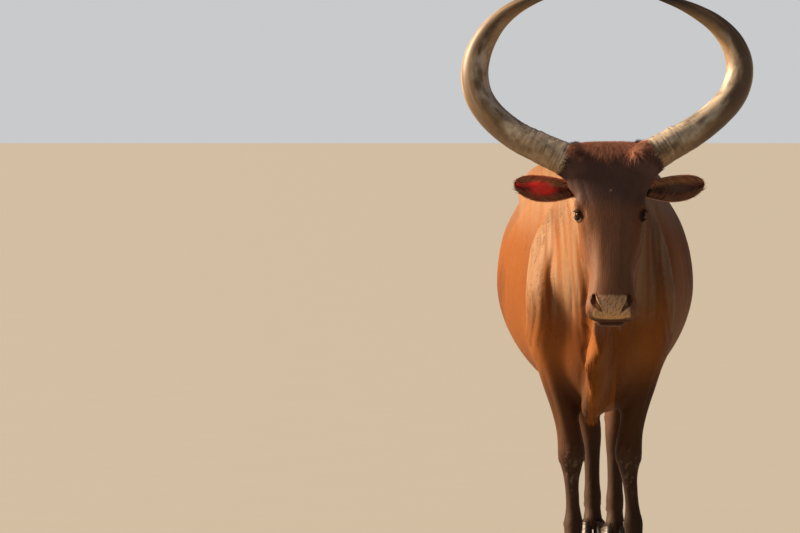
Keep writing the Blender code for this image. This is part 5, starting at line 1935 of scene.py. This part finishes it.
# Hooves: two claws to a foot and two dewclaws behind it, ringed and worn at the edge

hoofPlan = {
    "height": 0.07,
    "setForward": 0.012,
    # how square the claw is across and along, and how far the toe narrows and turns in
    "square": (0.62, 0.85),
    "toe": (0.42, 0.2),
    "ringApart": 0.0085,
    "ringHeight": 0.0006,
    "edgeWear": 0.0015,
    "length": 0.118,
    "width": 0.05,
    "cleft": 0.0045,
    # z, size, how far back it is set
    "rings": [(0.0, 1.0, 0.0), (0.01, 1.0, 0.002), (0.045, 0.87, 0.014), (0.1, 0.7, 0.032)],
    "coronet": ((-0.1, 0.085), (0.1, 0.035)),
    "gap": 0.0004,
    "around": 44,
    "up": 22,
    "dark": (0.028, 0.019, 0.015),
    "light": (0.078, 0.055, 0.04),
    "worn": (0.115, 0.086, 0.062),
    "wornUp": 0.075,
    "dewclawZ": 0.135,
    "dewclawAround": 20,
    "dewclawSize": 0.012,
    "dewclawEnd": (0.004, 0.034, -0.022),
}


def hoofMaterial():
    plan = hoofPlan
    made, wire = finish("hoof", Specular_IOR_Level=0.5, Coat_Weight=0.12, Coat_Roughness=0.4)
    grain = wire.attribute("grain")
    rings = wire.fibres(grain, (8.0, 8.0, 260.0), detail=3.0)
    fibres = wire.fibres(grain, (420.0, 420.0, 18.0), detail=2.0)
    blotch = wire.noise(wire.place(), 38.0, detail=4.0)
    low = wire.attribute("low", output="Fac")
    colour = (0.5 * rings + 0.5 * blotch).between(0.38, 0.66).mix(plan["dark"], plan["light"])
    colour = ((low + 0.35 * (blotch - 0.5)).between(0.55, 0.95) * 0.8).mix(colour, plan["worn"])
    return connect(made, Base_Color=(0.72 + 0.56 * fibres).tint(colour), Roughness=0.38 + 0.3 * blotch,
                   Normal=wire.bump(rings + 0.5 * fibres, 0.0012, 0.8))


hoof = hoofMaterial()


def hoofPiece(name, rings, grain, low, node):
    made = build(name, [loft(rings)])
    attach(made, "grain", grain)
    attach(made, "low", low)
    placed(made, hoof, "hoof", node)


def makeClaw(label, footX, footY, side):
    plan = hoofPlan
    turn = turns(plan["around"])
    heights = np.linspace(0, 1, plan["up"]) ** 0.9
    rows = np.array(plan["rings"])
    (frontY, high), (backY, low) = plan["coronet"]
    squareAcross, squareAlong = plan["square"]
    narrow, turnIn = plan["toe"]
    rings = []
    for share in heights:
        z = np.full(len(turn), share * plan["height"])
        for _ in range(4):
            size, back = (np.interp(z, rows[:, 0], rows[:, k]) for k in (1, 2))
            half = plan["width"] / 2 * size
            x = half * power(np.cos(turn), squareAcross)
            y = -plan["length"] / 2 * size * power(np.sin(turn), squareAlong)
            toe = np.maximum(-y / (plan["length"] / 2), 0) ** 1.6
            reach = y + back - plan["setForward"]
            top = high + (low - high) * (reach - frontY) / (backY - frontY) - plan["gap"]
            z = share * top
        x = x * (1 - narrow * toe) - side * half * turnIn * toe + side * (half + plan["cleft"] / 2)
        rings.append(np.stack([footX + x, footY + reach, z], -1))
    rings = np.array(rings)
    middle = rings.mean(1, keepdims=True)
    outward = unit((rings - middle) * (1, 1, 0))
    z = rings[..., 2]
    waver = 6 * wavy(rings.reshape(-1, 3), 0.07, 81).reshape(z.shape)
    ringed = plan["ringHeight"] * np.sin(z * 2 * np.pi / plan["ringApart"] + waver)
    ringed = ringed * ramp(z, 0.004, 0.012) * (np.abs(outward[..., 0] * side + 1) > 0.25)
    worn = plan["edgeWear"] * (ramp(heights, 0.92, 0.99)[:, None] - ramp(z, 0.004, 0.0))
    rings = rings + outward * (ringed + worn)[..., None]
    grain = np.concatenate([outward[..., :2] * 0.04, z[..., None]], -1)
    hoofPiece("hoof_" + label, rings, grain, 1 - z / plan["wornUp"], "claw_" + label)


def makeDewclaw(label, rows, side):
    plan = hoofPlan
    z, x, y, width, depth = min(rows, key=lambda row: abs(row[0] - plan["dewclawZ"]))
    start = np.array((x + side * width * 0.52, y + depth * 0.55, z + 0.004))
    end = start + np.array(plan["dewclawEnd"]) * (side, 1, 1)
    shares = np.linspace(0, 1, 12)
    radii = plan["dewclawSize"] * np.interp(shares, (0, 0.4, 0.75, 0.93, 1), (0.9, 1, 0.8, 0.55, 0.2))
    radii = radii * (1 + 0.03 * np.sin(shares * 40))
    rings = tubeRings(start + (end - start) * shares[:, None], radii, plan["dewclawAround"])
    low = np.tile(shares[:, None], (1, plan["dewclawAround"]))
    run = low * 0.04
    grain = np.concatenate([(rings - rings.mean(1, keepdims=True))[..., :2], run[..., None]], -1)
    hoofPiece("dewclaw_fine_" + label, rings, grain, low, "dewclaw_" + label)


def makeFeet():
    for name in legPlan["steps"]:
        rows = legRows(name, steps=2)
        footX, footY = rows[-1][1:3]
        outer = sides[name.split("_")[1]]
        for place, sign in (("inner", -1), ("outer", 1)):
            makeClaw(name + "_" + place, footX, footY, sign * outer)
            makeDewclaw(name + "_" + place, rows, sign * outer)


makeFeet()
print("hooves made")


# Longer hair: the switch, the poll's tuft, the dewlap's fringe, the chin's whiskers and the eyelashes

switchPlan = {
    "top": 0.575,
    "bottom": 0.285,
    "locks": 420,
    "radius": 0.034,
    "width": 0.0052,
    "tone": (0.06, 0.018, 0.01),
    "lit": (0.15, 0.05, 0.022),
}


def makeSwitch():
    plan = switchPlan
    draw = np.random.default_rng(5)
    count = plan["locks"]
    y, _, x, _ = tailPlan["rows"][-1]
    fall = draw.uniform(0, 1, count) ** 0.8
    turn = draw.uniform(0, 2 * np.pi, count)
    out = np.stack([np.cos(turn), np.sin(turn), np.zeros(count)], -1)
    roots = np.stack([np.full(count, x), np.full(count, y), plan["top"] + 0.004 - 0.15 * fall], -1)
    roots = roots + out * (0.01 - 0.004 * fall)[:, None]
    bottom = plan["bottom"] + 0.06 * (1 - fall) * draw.uniform(0, 1.6, count)
    lengths = roots[:, 2] - bottom
    spread = draw.uniform(0.25, 1.0, count)
    lies = unit(out * (plan["radius"] * 1.7 * spread / lengths)[:, None] - (0, 0, 1.0))
    curl = -out * (plan["radius"] * 1.25 * spread / lengths)[:, None] + draw.normal(size=(count, 3)) * 0.03
    blade = blades(roots, out, lies, lengths, plan["width"] * draw.uniform(0.7, 1.4, count), np.zeros(count),
                   steps=7, sink=0.003, curl=curl * (1, 1, 0))
    tones = blend(plan["tone"], plan["lit"], draw.random((count, 1)) ** 2)
    places = np.stack([turn / (2 * np.pi), 0.2 + 0.6 * fall], -1)
    furPiece("switch_hair", blade, tones, places, furMaterial("switch_hair"), "switch", "tail_switch")


tuftPlan = {
    "pollCount": 2600,
    "pollLength": (0.018, 0.034),
    "collarCount": 900,
    "collarLength": (0.01, 0.02),
    "collarOut": 0.006,
    "collarSpan": (0.104, 0.131),
    "collarShade": 0.8,
    "fringeCount": 1500,
    "fringeLength": (0.012, 0.026),
    "whiskers": 130,
    "whiskerLength": (0.014, 0.03),
    "whiskerWidth": 0.0009,
    "coronetCount": 620,
    "coronetLength": (0.018, 0.03),
}


# Roots on the skin nearest to the places asked for, with the skin's normals there
def rooted(surface, spots):
    found = [surface.find_nearest(Vector(spot))[:2] for spot in spots]
    return np.array([place for place, _ in found]), unit(np.array([normal for _, normal in found]))


def hairOnHead(name, blade, tones, roots):
    furPiece(name, blade, tones, chartPlace(roots, np.full(len(roots), 4)), fur, "coat", "head")


def makePollTuft(surface, draw):
    plan = tuftPlan
    count = plan["pollCount"]
    w = draw.uniform(-0.125, 0.125, count)
    u = draw.normal(0.000, 0.016, count)
    spots = np.array([inHead(spot) for spot in np.stack([w, u, np.full(count, 0.02)], -1)])
    roots, normals = rooted(surface, spots)
    bump = np.exp(-(((w - 0.068) / 0.02) ** 2))
    parted = np.stack([w * 5 + draw.normal(size=count) * 0.25, 0.75 - 9 * (0.012 - u), np.zeros(count)], -1)
    lies = alongSkin(parted @ headAxes + (0, 0, 0.25), normals)
    lengths = between(draw, plan["pollLength"], count) * (1 + 0.35 * bump)
    lifts = draw.uniform(0.1, 0.42, count) + 0.35 * bump
    blade = blades(roots, normals, lies, lengths, draw.uniform(0.0012, 0.0024, count), lifts,
                   drop=0.12, curl=draw.normal(size=(count, 3)) * 0.1)
    tones = toneOf(roots) * draw.uniform(0.8, 1.7, (count, 1)) * (1 + 0.35 * bump[:, None])
    hairOnHead("poll_tuft", blade, tones, roots)


# Short hair that lies out over each horn's root
def makeCollarHair(surface, draw):
    plan = tuftPlan
    count = plan["collarCount"]
    for side in sides:
        outs = between(draw, plan["collarSpan"], count)
        rows = hornRoot(side, outs)
        ahead = unit(hornRoot(side, outs + 0.01)[:, :3] - rows[:, :3])
        turn = draw.uniform(0, 2 * np.pi, count)
        up = unit(np.cross(ahead, (0.0, 1.0, 0.0)))
        spokes = up * np.cos(turn)[:, None] + np.cross(ahead, up) * np.sin(turn)[:, None]
        roots, _ = rooted(surface, rows[:, :3] + spokes * (rows[:, 3:] + plan["collarOut"]))
        lies = alongSkin(ahead + spokes * 0.1 + draw.normal(size=(count, 3)) * 0.14, spokes)
        blade = blades(roots, spokes, lies, between(draw, plan["collarLength"], count),
                       draw.uniform(0.0011, 0.0021, count), draw.uniform(0.0, 0.16, count))
        # hair on top of each root takes the poll's tone, with its painted rim light
        onTop = ramp(spokes[:, 2], 0.0, 0.6)[:, None]
        base = blend(toneOf(roots), np.array(tonePlan["poll"]) * plan["collarShade"], onTop)
        tones = base * draw.uniform(0.7, 1.3, (count, 1))
        hairOnHead("collar_hair_" + side, blade, tones, roots)


def makeFringe(surface, draw):
    plan = tuftPlan
    count = plan["fringeCount"]
    rows = flowing(dewlapPlan["rows"], 6)
    at = draw.uniform(4, len(rows) - 6, count)
    edges = np.stack([np.interp(at, np.arange(len(rows)), rows[:, k]) for k in (5, 2, 3)], -1)
    roots, normals = rooted(surface, edges + draw.normal(size=(count, 3)) * (0.01, 0.006, 0.008))
    hanging = np.tile((0.0, 0.25, -1.0), (count, 1)) + draw.normal(size=(count, 3)) * 0.16
    lies = alongSkin(hanging, normals * 0.6)
    blade = blades(roots, normals, lies, between(draw, plan["fringeLength"], count),
                   draw.uniform(0.001, 0.002, count), draw.uniform(0.0, 0.35, count), drop=0.15)
    tones = toneOf(roots) * draw.uniform(0.8, 1.6, (count, 1))
    furPiece("dewlap_fringe", blade, tones, chartPlace(roots, np.full(count, 8)), fur, "coat", "dewlap")


def makeWhiskers(surface, draw):
    plan = tuftPlan
    count = plan["whiskers"]
    w = draw.uniform(-0.06, 0.06, count)
    low = draw.random(count) < 0.65
    u = np.where(low, draw.uniform(0.47, 0.545, count), draw.uniform(0.46, 0.53, count))
    v = np.where(low, -0.14, -0.088)
    w = np.where(low, w * 0.75, np.sign(w) * 0.085)
    spots = np.array([inHead(spot) for spot in np.stack([w, u, v], -1)])
    roots, normals = rooted(surface, spots)
    lies = unit(normals + headAxes[1] * 0.5 + draw.normal(size=(count, 3)) * 0.25)
    blade = blades(roots, np.cross(lies, (1, 0, 0)), lies, between(draw, plan["whiskerLength"], count),
                   np.full(count, plan["whiskerWidth"]), np.zeros(count), drop=0.25)
    tones = blend(tonePlan["dark"], tonePlan["scuff"], draw.random((count, 1)))
    hairOnHead("whiskers", blade, tones, roots)


# Hair that hangs from the coronet over the top of each hoof
def makeCoronets(surface, draw):
    plan = tuftPlan
    count = plan["coronetCount"]
    for name in legPlan["steps"]:
        rows = legRows(name, steps=2)
        footX, footY = rows[-1][1:3]
        turn = draw.uniform(0, 2 * np.pi, count)
        reachY = 0.045 * np.sin(turn)
        (frontY, high), (backY, low) = hoofPlan["coronet"]
        z = high + (low - high) * (reachY - frontY) / (backY - frontY) + draw.uniform(0.006, 0.022, count)
        spots = np.stack([footX + 0.05 * np.cos(turn), footY + reachY, z], -1)
        roots, normals = rooted(surface, spots)
        lies = unit(normals * 0.8 + np.array((0, 0, -1.0)) + draw.normal(size=(count, 3)) * 0.12)
        blade = blades(roots, normals, lies, between(draw, plan["coronetLength"], count),
                       draw.uniform(0.0012, 0.0022, count), np.full(count, 0.05), drop=0.15)
        tones = toneOf(roots) * draw.uniform(0.7, 1.3, (count, 1))
        labels = np.full(count, legLabels[name])
        furPiece("coronet_hair_" + name, blade, tones, chartPlace(roots, labels), fur, "coat", "leg_" + name)


def makeLashes():
    plan = lidPlan
    draw = np.random.default_rng(17)
    for side in sides:
        _, (across, up, out) = eyeFrame(side)
        count = plan["lashes"]
        spread = np.linspace(0.18 * np.pi, 0.86 * np.pi, count) + draw.normal(size=count) * 0.02
        roots = np.array([lidPoint(skinSurface, side, 1.0, turn, "eye", plan["lashHeight"])
                          for turn in spread])
        fan = np.cos(spread)[:, None] * across
        lies = unit(out * 0.9 + fan * 0.5 + up * 0.15 + draw.normal(size=(count, 3)) * 0.08)
        curl = np.tile(-up * 0.35, (count, 1))
        blade = blades(roots, np.tile(up, (count, 1)), lies, between(draw, plan["lashLength"], count),
                       np.full(count, plan["lashWidth"]), np.zeros(count), steps=4, curl=curl)
        tones = np.tile(plan["rim"], (count, 1)) * draw.uniform(0.5, 1.2, (count, 1))
        hairOnHead("lashes_" + side, blade, tones, roots)


makeSwitch()
hairDraw = np.random.default_rng(23)
makePollTuft(skinSurface, hairDraw)
makeCollarHair(skinSurface, hairDraw)
makeFringe(skinSurface, hairDraw)
makeWhiskers(skinSurface, hairDraw)
makeCoronets(skinSurface, hairDraw)
makeLashes()
placed(skin, hide, "coat", *fleshNodes)
print("long hair made")


# The floor and the light: one large low warm key from the viewer's left and a little behind, and a weak cool
# fill. The camera sees a pale backdrop, brighter than the fill that lights the cow.

stagePlan = {
    "floor": 12000.0,
    "floorColour": (0.33, 0.33, 0.32),
    "backdrop": (0.58, 0.59, 0.6),
    "fillLight": (0.13, 0.14, 0.165),
    "keyFrom": (-0.82, 0.26, 0.5),
    "keyAngle": 22.0,
    "keyStrength": 11.5,
    "keyColour": (1.0, 0.77, 0.52),
}


def makeStage():
    plan = stagePlan
    half = plan["floor"] / 2
    mesh = bpy.data.meshes.new("floor")
    corners = [(-half, -half, 0), (half, -half, 0), (half, half, 0), (-half, half, 0)]
    mesh.from_pydata(corners, [], [(0, 1, 2, 3)])
    floor = linked("floor", mesh)
    made, wire = finish("floor", Roughness=0.8, Specular_IOR_Level=0.2)
    speckle = wire.noise(wire.place(), 3.0, detail=6.0)
    colour = speckle.mix([0.96 * part for part in plan["floorColour"]], plan["floorColour"])
    mesh.materials.append(connect(made, Base_Color=colour))
    world = bpy.data.worlds.new("studio")
    world.use_nodes = True
    tree = world.node_tree
    wire = Wire(tree, None)
    seen = wire.node("ShaderNodeLightPath", {}, {}, output="Is Camera Ray")
    sky = seen.mix(plan["fillLight"], plan["backdrop"])
    tree.links.new(sky.socket, tree.nodes["Background"].inputs["Color"])
    bpy.context.scene.world = world
    lamp = bpy.data.lights.new("key", "SUN")
    lamp.angle = math.radians(plan["keyAngle"])
    lamp.energy = plan["keyStrength"]
    lamp.color = plan["keyColour"]
    key = bpy.data.objects.new("key", lamp)
    key.rotation_euler = Vector(plan["keyFrom"]).to_track_quat("Z", "Y").to_euler()
    bpy.context.scene.collection.objects.link(key)
    bpy.context.scene.view_settings.view_transform = "Standard"


makeStage()
print("stage set")
